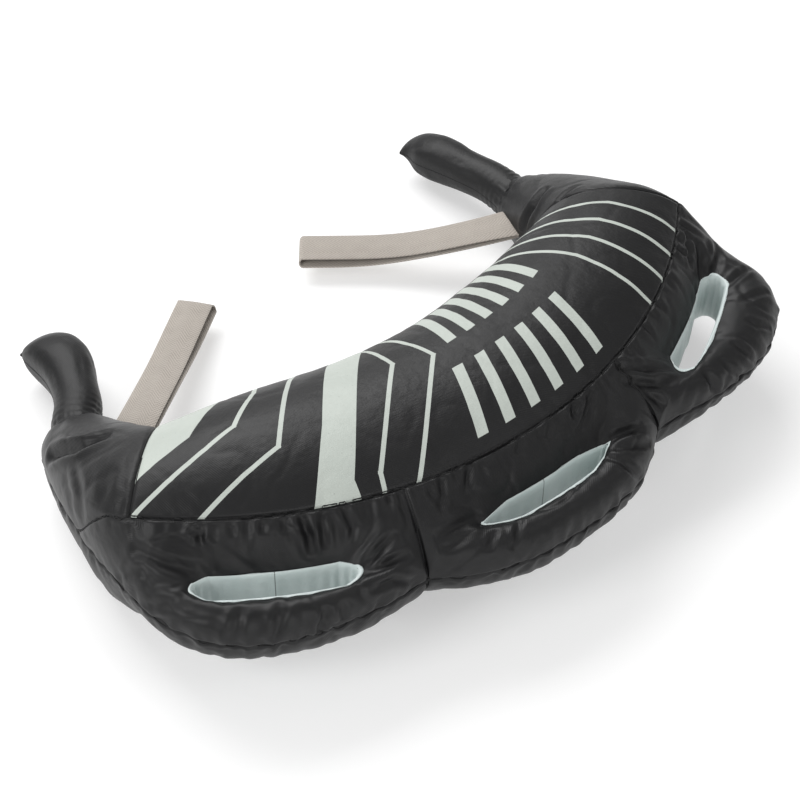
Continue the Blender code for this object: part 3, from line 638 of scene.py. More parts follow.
normals = normals_of(points, shell.faces)
lift = np.zeros(len(points))
seam_line = around(seam_radius, np.linspace(-body_angle, body_angle, 400), seam_height)
along, away = beside(seam_line)
by_angle = np.degrees(along / seam_radius) - body_angle
handle_strength = np.interp(by_angle, (-45, -41, -36, -17, -14, 14, 17, 40, 45), (0.2, 0.5, 1.0, 1.0, 0.45, 0.5, 0.8, 0.9, 0.3))
lift += folds(along, away, 0.0125, 0.046, 0.0036, 11, slant=0.14, width=0.0034) * handle_strength * (is_handle & is_upper)
lift += folds(along, away, 0.0085, 0.012, 0.0008, 12, width=0.0024) * (is_handle & is_upper)
lift += folds(along, away, 0.0150, 0.012, 0.0009, 13) * (point_panel == 0)
seam_lines = [seam_line, under(seam_line)]
seam_gap = away.copy()
for side, loop in loops.items():
    perimeter = around(seam_radius + loop.reach, np.linspace(loop.first, loop.last, rim_count + 1), mid_height)
    if side:
        for upper in (True, False):
            strip = strips[side, upper]
            line = ends[side].seam(strip, upper)
            seam_lines.append(line)
            along, away = beside(line)
            lift += folds(along, away, 0.020, 0.040, 0.0013, 31 + side, slant=0.15, width=0.0070) * is_end
            lift += folds(along, away, 0.016, 0.020, 0.0010, 34 + side) * is_handle
        perimeter = np.concatenate([perimeter, strip[1:, -1]])
        meet_line = meeting(side * loop_angle, loop.reach[0])
        seam_lines += [meet_line, under(meet_line)]
        end_line = crown([side * body_angle], np.linspace(0, 1, 60))[0]
        seam_lines += [end_line, under(end_line)]
        ring = np.linspace(0, 2 * math.pi, 120)
        end = ends[side]
        collar = end.frame(0, flare_radius * np.cos(ring), flare_radius * np.sin(ring))
        along, away = beside(collar)
        lift += folds(along, away, 0.0210, 0.046, 0.0030, 51 + side, slant=0.12, width=0.0072) * (is_end | is_handle)
    seam_lines.append(perimeter)
    along, away = beside(perimeter)
    seam_gap = np.minimum(seam_gap, away)
    lift += folds(along, away, 0.0170, 0.026, 0.0024, 21 + side, slant=0.5, width=0.0050) * is_handle * is_upper
    lift += folds(along, away, 0.0130, 0.020, 0.0024, 61 + side, slant=0.5, width=0.0042) * is_handle * ~is_upper
    rim = loop.rim(0.0006, mid_height + slot_rise)
    along, away = beside(np.concatenate([rim, rim[:1]]))
    lift += folds(along, away, 0.0095, 0.014, 0.0012, 41 + side, width=0.0030) * is_handle * is_upper
for line in seam_lines[1:]:
    seam_gap = np.minimum(seam_gap, beside(line)[1])
lift -= 0.0024 * np.exp(-(seam_gap / 0.0018) ** 2)
loose = np.where(is_handle, 1.0, np.where(is_end, 0.45, 0.40))
lift += (wobble(points, 0.060, 5.0) * 0.0018 + wobble(points, 0.022, 6.0) * 0.0004) * loose
lift -= np.exp(-(wobble(points * np.array((1, 1, 0.6)), 0.048, 14.0) / 0.085) ** 2) * 0.0011 * loose * np.clip(seam_gap / 0.012, 0, 1)
lift += creases(crease_lines, is_upper & (point_panel != 0))
points = points + normals * lift[:, None]
points[:, 2] = np.maximum(points[:, 2], 0.0)


# Materials

class Cloth:
    """A node material with short calls for its maths."""

    def __init__(self, name, color, roughness, **fixed):
        self.material = bpy.data.materials.new(name)
        self.material.use_nodes = True
        self.tree = self.material.node_tree
        self.shader = self.tree.nodes["Principled BSDF"]
        self.shader.inputs["Base Color"].default_value = (*color, 1)
        self.shader.inputs["Roughness"].default_value = roughness
        for key, value in fixed.items():
            self.shader.inputs[key.replace("_", " ")].default_value = value

    def put(self, socket, value):
        if isinstance(value, bpy.types.NodeSocket):
            self.tree.links.new(value, socket)
        else:
            socket.default_value = value

    def math(self, operation, *values):
        node = self.tree.nodes.new("ShaderNodeMath")
        node.operation = operation
        for socket, value in zip(node.inputs, values):
            self.put(socket, value)
        return node.outputs[0]

    def uv(self, layer):
        node = self.tree.nodes.new("ShaderNodeUVMap")
        node.uv_map = layer
        return node.outputs[0]

    def split(self, vector):
        node = self.tree.nodes.new("ShaderNodeSeparateXYZ")
        self.put(node.inputs[0], vector)
        return node.outputs[0], node.outputs[1]

    def noise(self, vector, scale, detail=2.0):
        node = self.tree.nodes.new("ShaderNodeTexNoise")
        self.put(node.inputs["Vector"], vector)
        node.inputs["Scale"].default_value = scale
        node.inputs["Detail"].default_value = detail
        return node.outputs[0]

    def place(self):
        return self.tree.nodes.new("ShaderNodeTexCoord").outputs["Object"]

    def range(self, value, low, high, to_low, to_high):
        node = self.tree.nodes.new("ShaderNodeMapRange")
        for socket, number in zip(node.inputs, (value, low, high, to_low, to_high)):
            self.put(socket, number)
        return node.outputs[0]

    def blend(self, share, first, second):
        node = self.tree.nodes.new("ShaderNodeMix")
        node.data_type = "RGBA"
        self.put(node.inputs[0], share)
        for socket, value in zip((node.inputs[6], node.inputs[7]), (first, second)):
            self.put(socket, (*value, 1) if isinstance(value, tuple) else value)
        return node.outputs[2]

    def relief(self, *layers):
        """Stack heights, each with its depth in metres, into the surface's normal."""
        normal = None
        for height, depth in layers:
            node = self.tree.nodes.new("ShaderNodeBump")
            node.inputs["Strength"].default_value = 1.0
            node.inputs["Distance"].default_value = depth
            self.put(node.inputs["Height"], height)
            if normal is not None:
                self.put(node.inputs["Normal"], normal)
            normal = node.outputs[0]
        self.put(self.shader.inputs["Normal"], normal)

    def twill(self, layer, pitch):
        """Fine diagonal ribs from 0 to 1."""
        u, v = self.split(self.uv(layer))
        wave = self.math("SINE", self.math("MULTIPLY", self.math("ADD", u, v), 2 * math.pi / pitch))
        return self.math("MULTIPLY_ADD", wave, 0.5, 0.5)


def coated(name):
    """Black coated twill with a soft sheen and a little dust."""
    cloth = Cloth(name, (0.007, 0.007, 0.0075), 0.45, Specular_IOR_Level=0.30)
    place = cloth.place()
    patch, dust = cloth.noise(place, 14.0, 3.0), cloth.noise(place, 900.0, 2.0)
    cloth.put(cloth.shader.inputs["Roughness"], cloth.range(patch, 0.3, 0.7, 0.40, 0.49))
    specks = cloth.range(cloth.math("MULTIPLY", dust, cloth.range(patch, 0.45, 0.75, 0.0, 1.0)), 0.58, 0.66, 0.0, 0.35)
    shade = cloth.blend(patch, (0.0056, 0.0056, 0.0060), (0.0090, 0.0090, 0.0095))
    cloth.shade = cloth.blend(specks, shade, (0.10, 0.10, 0.10))
    cloth.put(cloth.shader.inputs["Base Color"], cloth.shade)
    cloth.weave = ((cloth.noise(place, 130.0, 3.0), 0.0005), (cloth.twill("cloth", 0.0024), 0.00007))
    cloth.relief(*cloth.weave)
    return cloth


def printed(name):
    """The same cloth with plain pale stripes and bars, by angle round the bend and place across it."""
    cloth = coated(name)
    flat = cloth.uv("print")

    def dot(x, y):
        node = cloth.tree.nodes.new("ShaderNodeVectorMath")
        node.operation = "DOT_PRODUCT"
        cloth.put(node.inputs[0], flat)
        node.inputs[1].default_value = (x, y, 0)
        return node.outputs["Value"]

    def place(angle, share):
        slope = crown([angle], np.linspace(0, share, 40))[0]
        radius = seam_radius - np.linalg.norm(np.diff(slope, axis=0), axis=1).sum()
        return np.array((radius * math.sin(math.radians(angle)), radius * math.cos(math.radians(angle))))

    def stroke(a, b, wide, cut=None):
        """A straight stroke; cut is the direction of its ends, square where none is given."""
        a, b = np.array(a), np.array(b)
        run = (b - a) / np.linalg.norm(b - a)
        side = np.array((-run[1], run[0]))
        facing = run if cut is None else np.array((cut[1], -cut[0]))
        middle, spare = (a + b) / 2, wide * 0.4 if cut is None else 0
        across = cloth.math("COMPARE", dot(*side), float(side @ middle), wide / 2)
        length = cloth.math("COMPARE", dot(*facing), float(facing @ middle), abs(float(facing @ (b - a))) / 2 + spare)
        return cloth.math("MULTIPLY", across, length)

    def inside(*corners):
        """The area inside a convex outline."""
        mask, stops = None, [np.array(corner) for corner in corners]
        middle = sum(stops) / len(stops)
        for a, b in zip(stops, stops[1:] + stops[:1]):
            face = np.array((b[1] - a[1], a[0] - b[0]))
            face = face if face @ (middle - a) > 0 else -face
            part = cloth.math("GREATER_THAN", dot(*face), float(face @ a))
            mask = part if mask is None else cloth.math("MULTIPLY", mask, part)
        return mask

    marks = [inside(*outline) for outline in broad_marks]
    for line in thin_lines:
        marks += [stroke(a, b, thin_stripe) for a, b in zip(line, line[1:])]
    for share, first in ((0.09, -4.6), (0.50, 1.6)):
        for count in range(6):
            angle = first + count * 3.9
            turn = math.radians(angle + 1.6)
            marks.append(stroke(place(angle, share), place(angle + 3.2, share + 0.30), 0.0115, cut=(math.cos(turn), -math.sin(turn))))
    for angle in (27.5, 32.0, 36.5, 41.0):
        stops = (place(angle - 1.5, 0.0), place(angle, 0.42), place(angle - 2.6, 1.0))
        marks += [stroke(a, b, thin_stripe) for a, b in zip(stops, stops[1:])]
    mask = marks[0]
    for mark in marks[1:]:
        mask = cloth.math("MAXIMUM", mask, mark)
    worn = cloth.range(cloth.noise(cloth.place(), 420.0, 3.0), 0.26, 0.32, 0.78, 1.0)
    ink = cloth.blend(cloth.noise(cloth.place(), 22.0, 2.0), (0.42, 0.455, 0.42), (0.47, 0.505, 0.465))
    cloth.put(cloth.shader.inputs["Base Color"], cloth.blend(cloth.math("MULTIPLY", mask, worn), cloth.shade, ink))
    cloth.relief(*cloth.weave, (mask, 0.00008))
    return cloth


def satin(name):
    """The pale lining: smooth, faintly shiny, with one sewn line."""
    cloth = Cloth(name, (0.50, 0.56, 0.55), 0.40, Specular_IOR_Level=0.5, Sheen_Weight=0.15, Sheen_Roughness=0.4)
    along, up = cloth.split(cloth.uv("cloth"))
    sewn = cloth.math("COMPARE", along, 0.0, 0.00045)
    thread = cloth.math("SINE", cloth.math("MULTIPLY", up, 2 * math.pi / 0.0024))
    sewn = cloth.math("MULTIPLY", sewn, cloth.range(thread, -0.6, 0.0, 0.45, 1.0))
    patch = cloth.noise(cloth.place(), 40.0, 2.0)
    base = cloth.blend(patch, (0.50, 0.575, 0.565), (0.63, 0.69, 0.68))
    cloth.put(cloth.shader.inputs["Base Color"], cloth.blend(sewn, base, (0.05, 0.06, 0.06)))
    cloth.relief((cloth.noise(cloth.place(), 160.0, 2.0), 0.0006), (cloth.twill("cloth", 0.0009), 0.00004))
    return cloth


def woven(name):
    """Beige herringbone webbing with selvedges."""
    cloth = Cloth(name, (0.50, 0.45, 0.395), 0.75, Specular_IOR_Level=0.3, Sheen_Weight=0.25, Sheen_Roughness=0.5)
    along, across = cloth.split(cloth.uv("cloth"))
    zig = cloth.math("PINGPONG", across, webbing_width / 4)
    rib = cloth.math("SINE", cloth.math("MULTIPLY", cloth.math("MULTIPLY_ADD", zig, 1.3, along), 2 * math.pi / 0.0042))
    rib = cloth.math("MULTIPLY_ADD", rib, 0.5, 0.5)
    yarn = cloth.math("SINE", cloth.math("MULTIPLY", across, 2 * math.pi / 0.0016))
    yarn = cloth.math("MULTIPLY_ADD", yarn, 0.5, 0.5)
    patch = cloth.noise(cloth.place(), 60.0, 3.0)
    # the colour follows the same rib and yarn heights as the relief below and is darker where they dip: painted shade
    # in the grooves of the weave
    light = cloth.math("MULTIPLY", cloth.math("MULTIPLY_ADD", yarn, 0.3, 0.7), cloth.math("MULTIPLY_ADD", rib, 0.45, 0.55))
    base = cloth.blend(light, (0.17, 0.150, 0.130), (0.46, 0.415, 0.370))
    cloth.put(cloth.shader.inputs["Base Color"], cloth.blend(cloth.range(patch, 0.3, 0.7, 0.0, 0.35), base, (0.45, 0.41, 0.365)))
    cloth.relief((rib, 0.00030), (yarn, 0.00014))
    return cloth


def thread(name, color):
    """Twisted sewing thread."""
    cloth = Cloth(name, color, 0.6, Specular_IOR_Level=0.35)
    patch = cloth.noise(cloth.place(), 1500.0, 2.0)
    cloth.put(cloth.shader.inputs["Base Color"], cloth.blend(patch, tuple(0.6 * c for c in color), color))
    cloth.relief((patch, 0.0001))
    return cloth


# The print, in metres on the cloth laid flat, from the middle of the bend
thin_stripe = 0.0044
thin_lines = (((-0.336, 0.342), (-0.269, 0.332), (-0.213, 0.322), (-0.166, 0.285), (-0.077, 0.165)),
              ((-0.298, 0.382), (-0.237, 0.372), (-0.197, 0.367), (-0.117, 0.275), (-0.022, 0.166)),
              ((-0.147, 0.460), (-0.139, 0.440), (-0.052, 0.346), (-0.048, 0.297), (-0.047, 0.285)),
              ((-0.116, 0.468), (-0.016, 0.362), (-0.025, 0.277), (-0.026, 0.262)))
broad_marks = (((-0.325, 0.318), (-0.250, 0.306), (-0.186, 0.262), (-0.090, 0.090), (-0.330, 0.100)),
               ((-0.152, 0.371), (-0.162, 0.432), (-0.063, 0.308), (0.045, 0.172), (0.008, 0.166)),
               ((-0.207, 0.434), (-0.152, 0.371), (-0.162, 0.432), (-0.168, 0.456)))
coated_cloth, printed_cloth = coated("coated_cloth"), printed("printed_cloth")
liner_cloth, webbing_cloth = satin("liner_cloth"), woven("webbing")
black_thread, pale_thread = thread("black_thread", (0.006, 0.006, 0.0065)), thread("pale_thread", (0.42, 0.38, 0.33))


# Pieces of the shell

def make_mesh(name, points, faces, layers=()):
    """A smooth mesh object with its cloth coordinates by corner."""
    mesh = bpy.data.meshes.new(name)
    mesh.from_pydata([tuple(point) for point in points], [], [tuple(int(i) for i in face) for face in faces])
    for layer, corners in layers:
        mesh.uv_layers.new(name=layer).data.foreach_set("uv", np.ascontiguousarray(corners, dtype=np.float32).reshape(-1))
    mesh.shade_smooth()
    item = bpy.data.objects.new(name, mesh)
    bpy.context.scene.collection.objects.link(item)
    return item


def dress(item, body, slot, material, *nodes, smooth=0, bend=None):
    """Give a piece its material and hide the model's nodes that it stands for; without a bend it rides on its body,
    with one it gets no body and its transform is baked in, and where the bend lies is not used.
    """
    item.data.materials.append(material)
    if smooth:
        refine = item.modifiers.new("smooth", "SUBSURF")
        refine.levels = refine.render_levels = smooth
    if bend is None:
        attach(item, body)
    else:
        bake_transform(item)
    if nodes:
        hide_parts(*nodes)
    return item


stands_for = {"top_cloth": ["top_panel", "left_sand_sack", "middle_sand_sack", "right_sand_sack"],
              "bottom_cloth": ["bottom_panel"]}
for side, name in sides.items():
    stands_for[name + "_handle_upper_cloth"] = [name + "_handle_upper_cover", name + "_handle_filling"]
    stands_for[name + "_handle_lower_cloth"] = [name + "_handle_lower_cover"]
    if side:
        stands_for[name + "_end_upper_cloth"] = [name + "_end_upper_panel"]
        stands_for[name + "_end_lower_cloth"] = [name + "_end_lower_panel"]
for number, name in enumerate(panel_names):
    mine = shell.panels == number
    used, corners = np.unique(shell.faces[mine], return_inverse=True)
    layers = [("cloth", shell.cloth_uv[mine])]
    if number == 0:
        layers.append(("print", shell.print_uv[mine]))
    piece = make_mesh(name, points[used], corners.reshape(-1, 4), layers)
    dress(piece, "bag", "printed_cloth" if number == 0 else "coated_cloth",
          (printed_cloth if number == 0 else coated_cloth).material, *stands_for[name])


# Lining, seams, grips and straps

def sheet_faces(rows, columns, joined_rows=False, joined_columns=False):
    """Quads of a grid of points stored row by row."""
    index = np.arange(rows * columns).reshape(rows, columns)
    if joined_rows:
        index = np.concatenate([index, index[:1]])
    if joined_columns:
        index = np.concatenate([index, index[:, :1]], axis=1)
    return np.stack([index[:-1, :-1], index[1:, :-1], index[1:, 1:], index[:-1, 1:]], -1).reshape(-1, 4)


def grid_piece(name, grid, uv, joined_rows=False, joined_columns=False, uv_end=None):
    """A piece from a grid of points; uv has one more row or column where the grid is joined."""
    rows, columns = grid.shape[:2]
    faces = sheet_faces(rows, columns, joined_rows, joined_columns)
    wide = uv.shape[1]
    index = np.arange(uv.shape[0] * wide).reshape(uv.shape[:2])
    corner = np.stack([index[:-1, :-1], index[1:, :-1], index[1:, 1:], index[:-1, 1:]], -1).reshape(-1, 4)
    return make_mesh(name, grid.reshape(-1, 3), faces, [("cloth", uv.reshape(-1, 2)[corner])])


cover = surface_of(points, shell.faces)


def on_cover(place, height):
    """A point at a small height above the cloth, next to a place near it."""
    spot, normal, _, _ = cover.find_nearest(Vector(place))
    return np.array(spot + normal * height)


for side, loop in loops.items():
    turns = loop.turns(2)
    top, foot = mid_height + slot_rise, mid_height - belly_share * slot_rise
    sine, cosine = np.sin(np.radians(turns)), np.cos(np.radians(turns))
    pinch = np.abs(cosine) ** 12
    scallop = 0.00035 * np.sin(np.arange(len(turns)) * 2 * math.pi / 3.0)
    lip = np.where(sine > 0.25, 0.0010, 0.0026) + 0.0010 * pinch + scallop
    rim = loop.rim(0.0006, top, turns)
    outside = np.array([on_cover(spot, 0.0004) for spot in loop.rim(0.0006, top, turns)
                        + (loop.rim(0.0106, top, turns) - rim) * (lip / 0.010)[:, None]])
    half = np.array([on_cover(spot, 0.0012) for spot in loop.rim(0.0006, top, turns)
                     + (loop.rim(0.0106, top, turns) - rim) * (lip / 0.020)[:, None]])
    count = np.arange(len(turns))
    chance = np.random.RandomState(70 + side)
    wave = sum(chance.uniform(0.2, 1.0) * np.sin(count * 2 * math.pi * k / len(turns) + chance.uniform(0, 6)) for k in (5, 9, 14, 23, 31))
    pleat = sum(np.sin(count * 2 * math.pi * k / len(turns) + chance.uniform(0, 6)) for k in (21, 29))
    rows = [outside, half, loop.rim(0.0004, top + 0.0016, turns)]
    drops = (0.0010, 0.0035, 0.008, 0.014, 0.021, 0.028, 0.036, 0.044, 0.051)
    for drop in drops:
        part = min(1.0, drop / 0.020) * min(1.0, (top - foot + 0.001 - drop) / 0.010)
        inwards = loop.rim(-0.0024, top, turns) - loop.rim(-0.0004, top, turns)
        move = (0.35 + 0.22 * wave * part + 0.50 * pleat * pinch * min(1, drop / 0.004))[:, None]
        row = loop.rim(-0.0004, top, turns) + inwards * move
        row[:, 2] = top - drop * (top - foot) / (drops[-1] + 0.003)
        rows.append(row)
    rows += [loop.rim(0.0004, foot - 0.0012, turns), loop.rim(0.0022, foot - 0.0004, turns)]
    grid = np.stack(rows, 1)
    loop_run = np.concatenate([[0], np.cumsum(np.linalg.norm(np.diff(np.concatenate([rim, rim[:1]]), axis=0), axis=1))])
    back = int(np.argmin(np.abs(turns - 90)))
    down = np.concatenate([[0], np.cumsum(np.linalg.norm(np.diff(grid, axis=1), axis=2).mean(0))])
    uv = np.stack(np.broadcast_arrays((loop_run - loop_run[back])[:, None], down[None, :]), -1)
    liner = grid_piece(loop.name + "_lining", grid, uv, joined_rows=True)
    dress(liner, "bag", "liner_cloth", liner_cloth.material, loop.name + "_liner", smooth=1)
    solid = liner.modifiers.new("thickness", "SOLIDIFY")
    solid.thickness, solid.offset = 0.0005, 0.0


def capsule(place, ahead, normal, length, radius, sides_round=6):
    """Points and faces of a short rounded thread."""
    ahead, normal = Vector(ahead).normalized(), Vector(normal).normalized()
    wide = ahead.cross(normal).normalized()
    rings, faces = [], []
    for share, size in ((-0.5, 0.25), (-0.42, 0.8), (-0.2, 1.0), (0.2, 1.0), (0.42, 0.8), (0.5, 0.25)):
        turn = [2 * math.pi * k / sides_round for k in range(sides_round)]
        rings.append([Vector(place) + ahead * share * length + (wide * math.cos(t) + normal * math.sin(t)) * radius * size for t in turn])
    spots = [tuple(point) for ring in rings for point in ring]
    for ring in range(len(rings) - 1):
        for k in range(sides_round):
            nxt = (k + 1) % sides_round
            faces.append((ring * sides_round + k, ring * sides_round + nxt, (ring + 1) * sides_round + nxt, (ring + 1) * sides_round + k))
    faces.append(tuple(reversed(range(sides_round))))
    faces.append(tuple((len(rings) - 1) * sides_round + k for k in range(sides_round)))
    return spots, faces


def stitches(name, line, pitch, length, radius, height, material, body, slot, surface=None, seed=1):
    """A row of separate stitches along a line that lies on the cloth."""
    chance = np.random.RandomState(seed)
    curve, run = dense(line, 0.0005)
    spots, faces, place = [], [], pitch * 0.6
    while place < run[-1] - pitch * 0.5:
        at = int(place / 0.0005)
        ahead = curve[min(at + 3, len(curve) - 1)] - curve[max(at - 3, 0)]
        spot, normal, _, _ = (surface or cover).find_nearest(Vector(curve[at]))
        ahead = Vector(ahead).normalized() + Vector(chance.uniform(-0.12, 0.12, 3))
        more, fresh = capsule(spot + normal * height, ahead, normal, length * chance.uniform(0.85, 1.1), radius)
        faces += [tuple(index + len(spots) for index in face) for face in fresh]
        spots += more
        place += pitch * chance.uniform(0.9, 1.1)
    item = make_mesh(name, spots, faces)
    return dress(item, body, slot, material)


def seam_tube(name, lines, radius, sink, material, body, slot, surface=None, bend=None):
    """The dark line where two panels meet, as a thin sunk thread."""
    spots, faces, turn = [], [], [2 * math.pi * k / 6 for k in range(6)]
    for line in lines:
        curve, _ = dense(line, 0.0022)
        start, rings = len(spots), 0
        for at in range(len(curve)):
            ahead = Vector(curve[min(at + 1, len(curve) - 1)] - curve[max(at - 1, 0)]).normalized()
            spot, normal, _, _ = (surface or cover).find_nearest(Vector(curve[at]))
            wide = ahead.cross(normal).normalized()
            small = 0.4 if at in (0, len(curve) - 1) else 1.0
            spots += [tuple(spot - normal * sink + (wide * math.cos(t) + normal * math.sin(t)) * radius * small) for t in turn]
            rings += 1
        for ring in range(rings - 1):
            for k in range(6):
                a, b = start + ring * 6 + k, start + ring * 6 + (k + 1) % 6
                faces.append((a, b, b + 6, a + 6))
        faces.append(tuple(start + k for k in reversed(range(6))))
        faces.append(tuple(start + (rings - 1) * 6 + k for k in range(6)))
    return dress(make_mesh(name, spots, faces), body, slot, material, bend=bend)


stitches("main_seam_stitches", seam_line, 0.0066, 0.0056, 0.00062, 0.0003, black_thread.material, "bag", "coated_cloth")
seam_tube("seam_threads", seam_lines, 0.00065, 0.0001, black_thread.material, "bag", "coated_cloth")


# Grips

def spline(rows, count):
    """A smooth run through rows of numbers, with more rows."""
    rows = np.asarray(rows, float)
    run = np.concatenate([[0], np.cumsum(np.linalg.norm(np.diff(rows[:, :3], axis=0), axis=1) + 0.002)])
    slopes = np.gradient(rows, run, axis=0)
    places = np.linspace(0, run[-1], count)
    left = np.clip(np.searchsorted(run, places, side="right") - 1, 0, len(run) - 2)
    span = (run[left + 1] - run[left])[:, None]
    t = (places - run[left])[:, None] / span
    return (rows[left] * (2 * t ** 3 - 3 * t ** 2 + 1) + slopes[left] * span * (t ** 3 - 2 * t ** 2 + t)
            + rows[left + 1] * (3 * t ** 2 - 2 * t ** 3) + slopes[left + 1] * span * (t ** 3 - t ** 2))


for side, rows in grip_sections.items():
    name = sides[side] + "_grip"
    fine = spline(rows, 110)
    turn = np.linspace(0, 2 * math.pi, 73)[:-1]
    cosine, sine = np.cos(turn), np.sin(turn)
    ahead = np.gradient(fine[:, :3], axis=0)
    ahead /= np.linalg.norm(ahead, axis=1, keepdims=True)
    plan = np.radians(fine[:, 5])
    wide = np.stack([np.cos(plan), np.sin(plan), 0 * plan], -1)
    up = np.broadcast_to(np.array((0, 0, 1.0)), wide.shape)
    half_wide, half_tall = np.maximum(fine[:, 3], 0.0008), np.maximum(fine[:, 4], 0.0006)
    share = np.linspace(0, 1, len(fine))[:, None]
    squeeze = 1 - 0.10 * np.abs(cosine)[None] ** 8 * np.clip((share - 0.25) * 3, 0, 1)
    flat = np.sign(sine)[None] * np.abs(sine)[None] ** (1.0 - 0.18 * np.clip((share - 0.2) * 2, 0, 1))
    chance = np.random.RandomState(5 + side)
    ripple = np.zeros((len(fine), len(turn)))
    for _ in range(22):
        at, around_at = chance.uniform(0.12, 0.92), chance.uniform(0, 2 * math.pi)
        length, thick, deep = chance.uniform(0.03, 0.10), chance.uniform(0.10, 0.22), chance.uniform(0.0003, 0.0011)
        lean = chance.uniform(-3, 3)
        gap = np.angle(np.exp(1j * (turn[None] - around_at - lean * (share - at))))
        ripple -= deep * np.exp(-(gap / thick) ** 2 - ((share - at) / length) ** 2)
    rings = np.exp(-((share - 0.23) / 0.09) ** 2)
    ripple -= 0.0009 * rings * np.sin(share * 150 + 1.5 * np.sin(turn[None] * 2)) * (0.6 + 0.4 * np.cos(turn[None] + 1))
    gather = np.exp(-((share - 0.17) / 0.05) ** 2) * 0.0007 * np.sin(turn[None] * 17 + 2 * np.sin(turn[None] * 3))
    size = 1 + (ripple + gather) / np.maximum(half_wide[:, None], 0.010)
    grid = (fine[:, None, :3] + wide[:, None] * (half_wide[:, None] * cosine * squeeze * size)[..., None]
            + up[:, None] * (half_tall[:, None] * flat * size)[..., None])
    grid[..., 2] = np.maximum(grid[..., 2], 0.0006)
    run = np.concatenate([[0], np.cumsum(np.linalg.norm(np.diff(fine[:, :3], axis=0), axis=1))])
    uv = np.stack(np.broadcast_arrays(run[:, None], np.linspace(0, 0.16, 73)[None]), -1)
    grip = grid_piece(name + "_cover", grid, uv, joined_columns=True)
    mesh = grip.data
    rim_points = len(turn)
    tree_faces = sheet_faces(len(fine), rim_points, joined_columns=True)
    caps = [list(range(rim_points))[::-1], list(range((len(fine) - 1) * rim_points, len(fine) * rim_points))]
    grip = make_mesh(name + "_cloth", grid.reshape(-1, 3), [tuple(face) for face in tree_faces] + [tuple(cap) for cap in caps],
                     [("cloth", np.concatenate([np.stack([uv.reshape(-1, 2)[corner] for corner in
                       np.stack([(np.arange(uv.shape[0] * 73).reshape(-1, 73))[:-1, :-1], (np.arange(uv.shape[0] * 73).reshape(-1, 73))[1:, :-1],
                                 (np.arange(uv.shape[0] * 73).reshape(-1, 73))[1:, 1:], (np.arange(uv.shape[0] * 73).reshape(-1, 73))[:-1, 1:]], -1).reshape(-1, 4)]).reshape(-1, 2),
                       np.zeros((2 * rim_points, 2))]))])
    bpy.data.meshes.remove(mesh)
    bend = (tuple(ends[side].root), tuple(ends[side].root + ends[side].axis * 0.045))
    dress(grip, name, "coated_cloth", coated_cloth.material, name + "_upper_cover", name + "_lower_cover", name + "_filling", bend=bend)
    skin = surface_of(grid.reshape(-1, 3), tree_faces)
    edges = [grid[18:-1, 0], grid[18:-1, 36]]
    seam_tube(name + "_seam", edges, 0.0005, 0.0001, black_thread.material, name, "coated_cloth", skin, bend)


# Wrist straps

for side, root in strap_roots.items():
    tip, line = strap_tips[side], strap_lines[side]
    ahead = Vector((tip.x - root.x, tip.y - root.y, 0))
    run = ahead.length
    ahead.normalize()
    across = Vector((ahead.y, -ahead.x, 0)) * side
    skew, fall, sag = line.dot(ahead) / line.dot(across), root.z - tip.z, strap_sags[side]

    def half_gap(share):
        return (mix(strap_root_gap, strap_gap, share ** 0.6) + webbing_thickness) / 2

    def ply(share, sign):
        ripple = 0.0011 * math.sin(7 * share + sign) * math.sin(math.pi * share)
        return share * (run - half_gap(1)), -fall * share - sag * math.sin(math.pi * share) + sign * half_gap(share) + ripple

    def roll(share, facing):
        x, z = ply(share, 0)
        return [(x + facing * half_gap(share) * math.cos(t), z + facing * half_gap(share) * math.sin(t))
                for t in np.linspace(math.pi / 2, -math.pi / 2, 9)[1:-1]]

    path = ([ply(s, 1) for s in np.linspace(0, 1, 60)] + roll(1, 1)
            + [ply(s, -1) for s in np.linspace(1, 0, 60)] + roll(0, -1))
    profile = np.linspace(-0.5, 0.5, 15)
    slack = np.array([0.0] * 60 + [0.0] * 7 + list(0.0045 * np.linspace(1, 0, 60) ** 0.5) + [0.0] * 7)
    slack[60:67] = np.linspace(0.0, 0.0045, 7)
    grid = np.empty((len(path), len(profile), 3))
    for row, (x, z) in enumerate(path):
        fade = max(0.0, 1 - max(x, 0.0) / (run * 0.30)) ** 2
        for column, share in enumerate(profile):
            wide = share * webbing_width
            edge = 0.00035 * math.cos(math.pi * share * 2) - 0.0003 * (abs(share) > 0.46)
            grid[row, column] = (root + ahead * (x + wide * skew * fade) + across * (wide - slack[row] * (1 if side < 0 else 1))
                                 + Vector((0, 0, z + edge)))
    length = np.concatenate([[0], np.cumsum(np.linalg.norm(np.diff(np.concatenate([grid[:, 7], grid[:1, 7]]), axis=0), axis=1))])
    uv = np.stack(np.broadcast_arrays(length[:, None], profile[None] * webbing_width), -1)
    name = sides[side] + "_wrist"
    strap = grid_piece(name + "_webbing", grid, uv, joined_rows=True)
    dress(strap, sides[side] + "_strap", "webbing", webbing_cloth.material, name + "_strap")
    solid = strap.modifiers.new("thickness", "SOLIDIFY")
    solid.thickness, solid.offset = webbing_thickness, 0.0
    soft = strap.modifiers.new("edges", "BEVEL")
    soft.width, soft.segments, soft.limit_method = 0.0004, 2, "ANGLE"


# Camera, floor and light

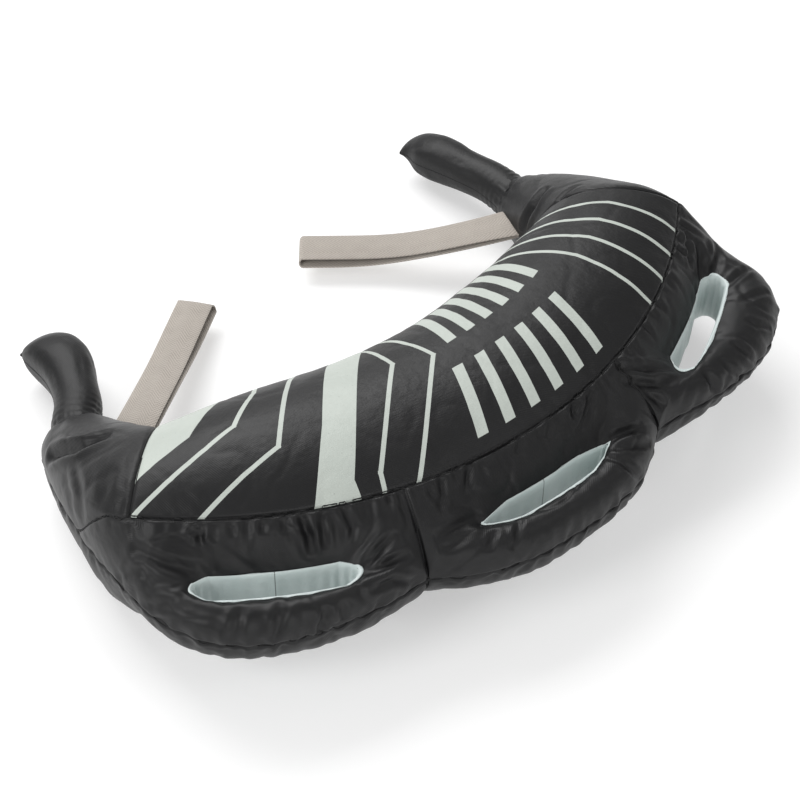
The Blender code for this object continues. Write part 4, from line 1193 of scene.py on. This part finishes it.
def turn_to(azimuth, elevation, roll):
    """The camera's axes for a view at this angle round the bag."""
    a, e, r = (math.radians(value) for value in (azimuth, elevation, roll))
    back = Vector((math.sin(a) * math.cos(e), -math.cos(a) * math.cos(e), math.sin(e)))
    right = Vector((math.cos(a), math.sin(a), 0))
    up = back.cross(right)
    return Matrix((right * math.cos(r) + up * math.sin(r), up * math.cos(r) - right * math.sin(r), back)).transposed()


camera = bpy.data.objects.new("camera", bpy.data.cameras.new("camera"))
camera.data.lens, camera.data.sensor_width, camera.data.clip_end = 81.0, 36.0, 50.0
camera.matrix_world = Matrix.Translation((-0.79923, -0.87759, 1.3723)) @ turn_to(-39.912, 46.805, 1.244).to_4x4()
bpy.context.scene.collection.objects.link(camera)
bpy.context.scene.camera = camera

floor = make_mesh("floor", [(-30, -30, 0), (30, -30, 0), (30, 30, 0), (-30, 30, 0)], [(0, 1, 2, 3)])
floor.location.z = -0.0006
floor_paint = Cloth("floor_paint", (0.62, 0.62, 0.62), 0.9, Specular_IOR_Level=0.1,
                    Emission_Color=(1, 1, 1, 1), Emission_Strength=0.42)
floor.data.materials.append(floor_paint.material)


def softbox(name, place, aim, size, power, tint=(1, 1, 1)):
    lamp = bpy.data.lights.new(name, "AREA")
    lamp.shape, lamp.size, lamp.size_y = "RECTANGLE", size[0], size[1]
    lamp.energy, lamp.color = power, tint
    item = bpy.data.objects.new(name, lamp)
    item.location = place
    item.rotation_euler = (Vector(aim) - Vector(place)).to_track_quat("-Z", "Y").to_euler()
    bpy.context.scene.collection.objects.link(item)


softbox("key", (0.35, 1.90, 2.15), (-0.05, 0.1, 0.1), (2.5, 1.5), 70)
softbox("side", (-2.1, 0.2, 1.5), (0, 0, 0.1), (0.9, 1.3), 24)
softbox("front", (1.0, -1.7, 2.4), (0, 0, 0.1), (1.2, 1.2), 8)
softbox("low", (-0.9, -2.2, 0.75), (-0.15, -0.1, 0.1), (1.5, 0.8), 12)
bpy.context.scene.view_settings.view_transform = "Standard"
world = bpy.data.worlds.new("studio")
world.use_nodes = True
world.node_tree.nodes["Background"].inputs[0].default_value = (1, 1, 1, 1)
world.node_tree.nodes["Background"].inputs[1].default_value = 0.42
bpy.context.scene.world = world
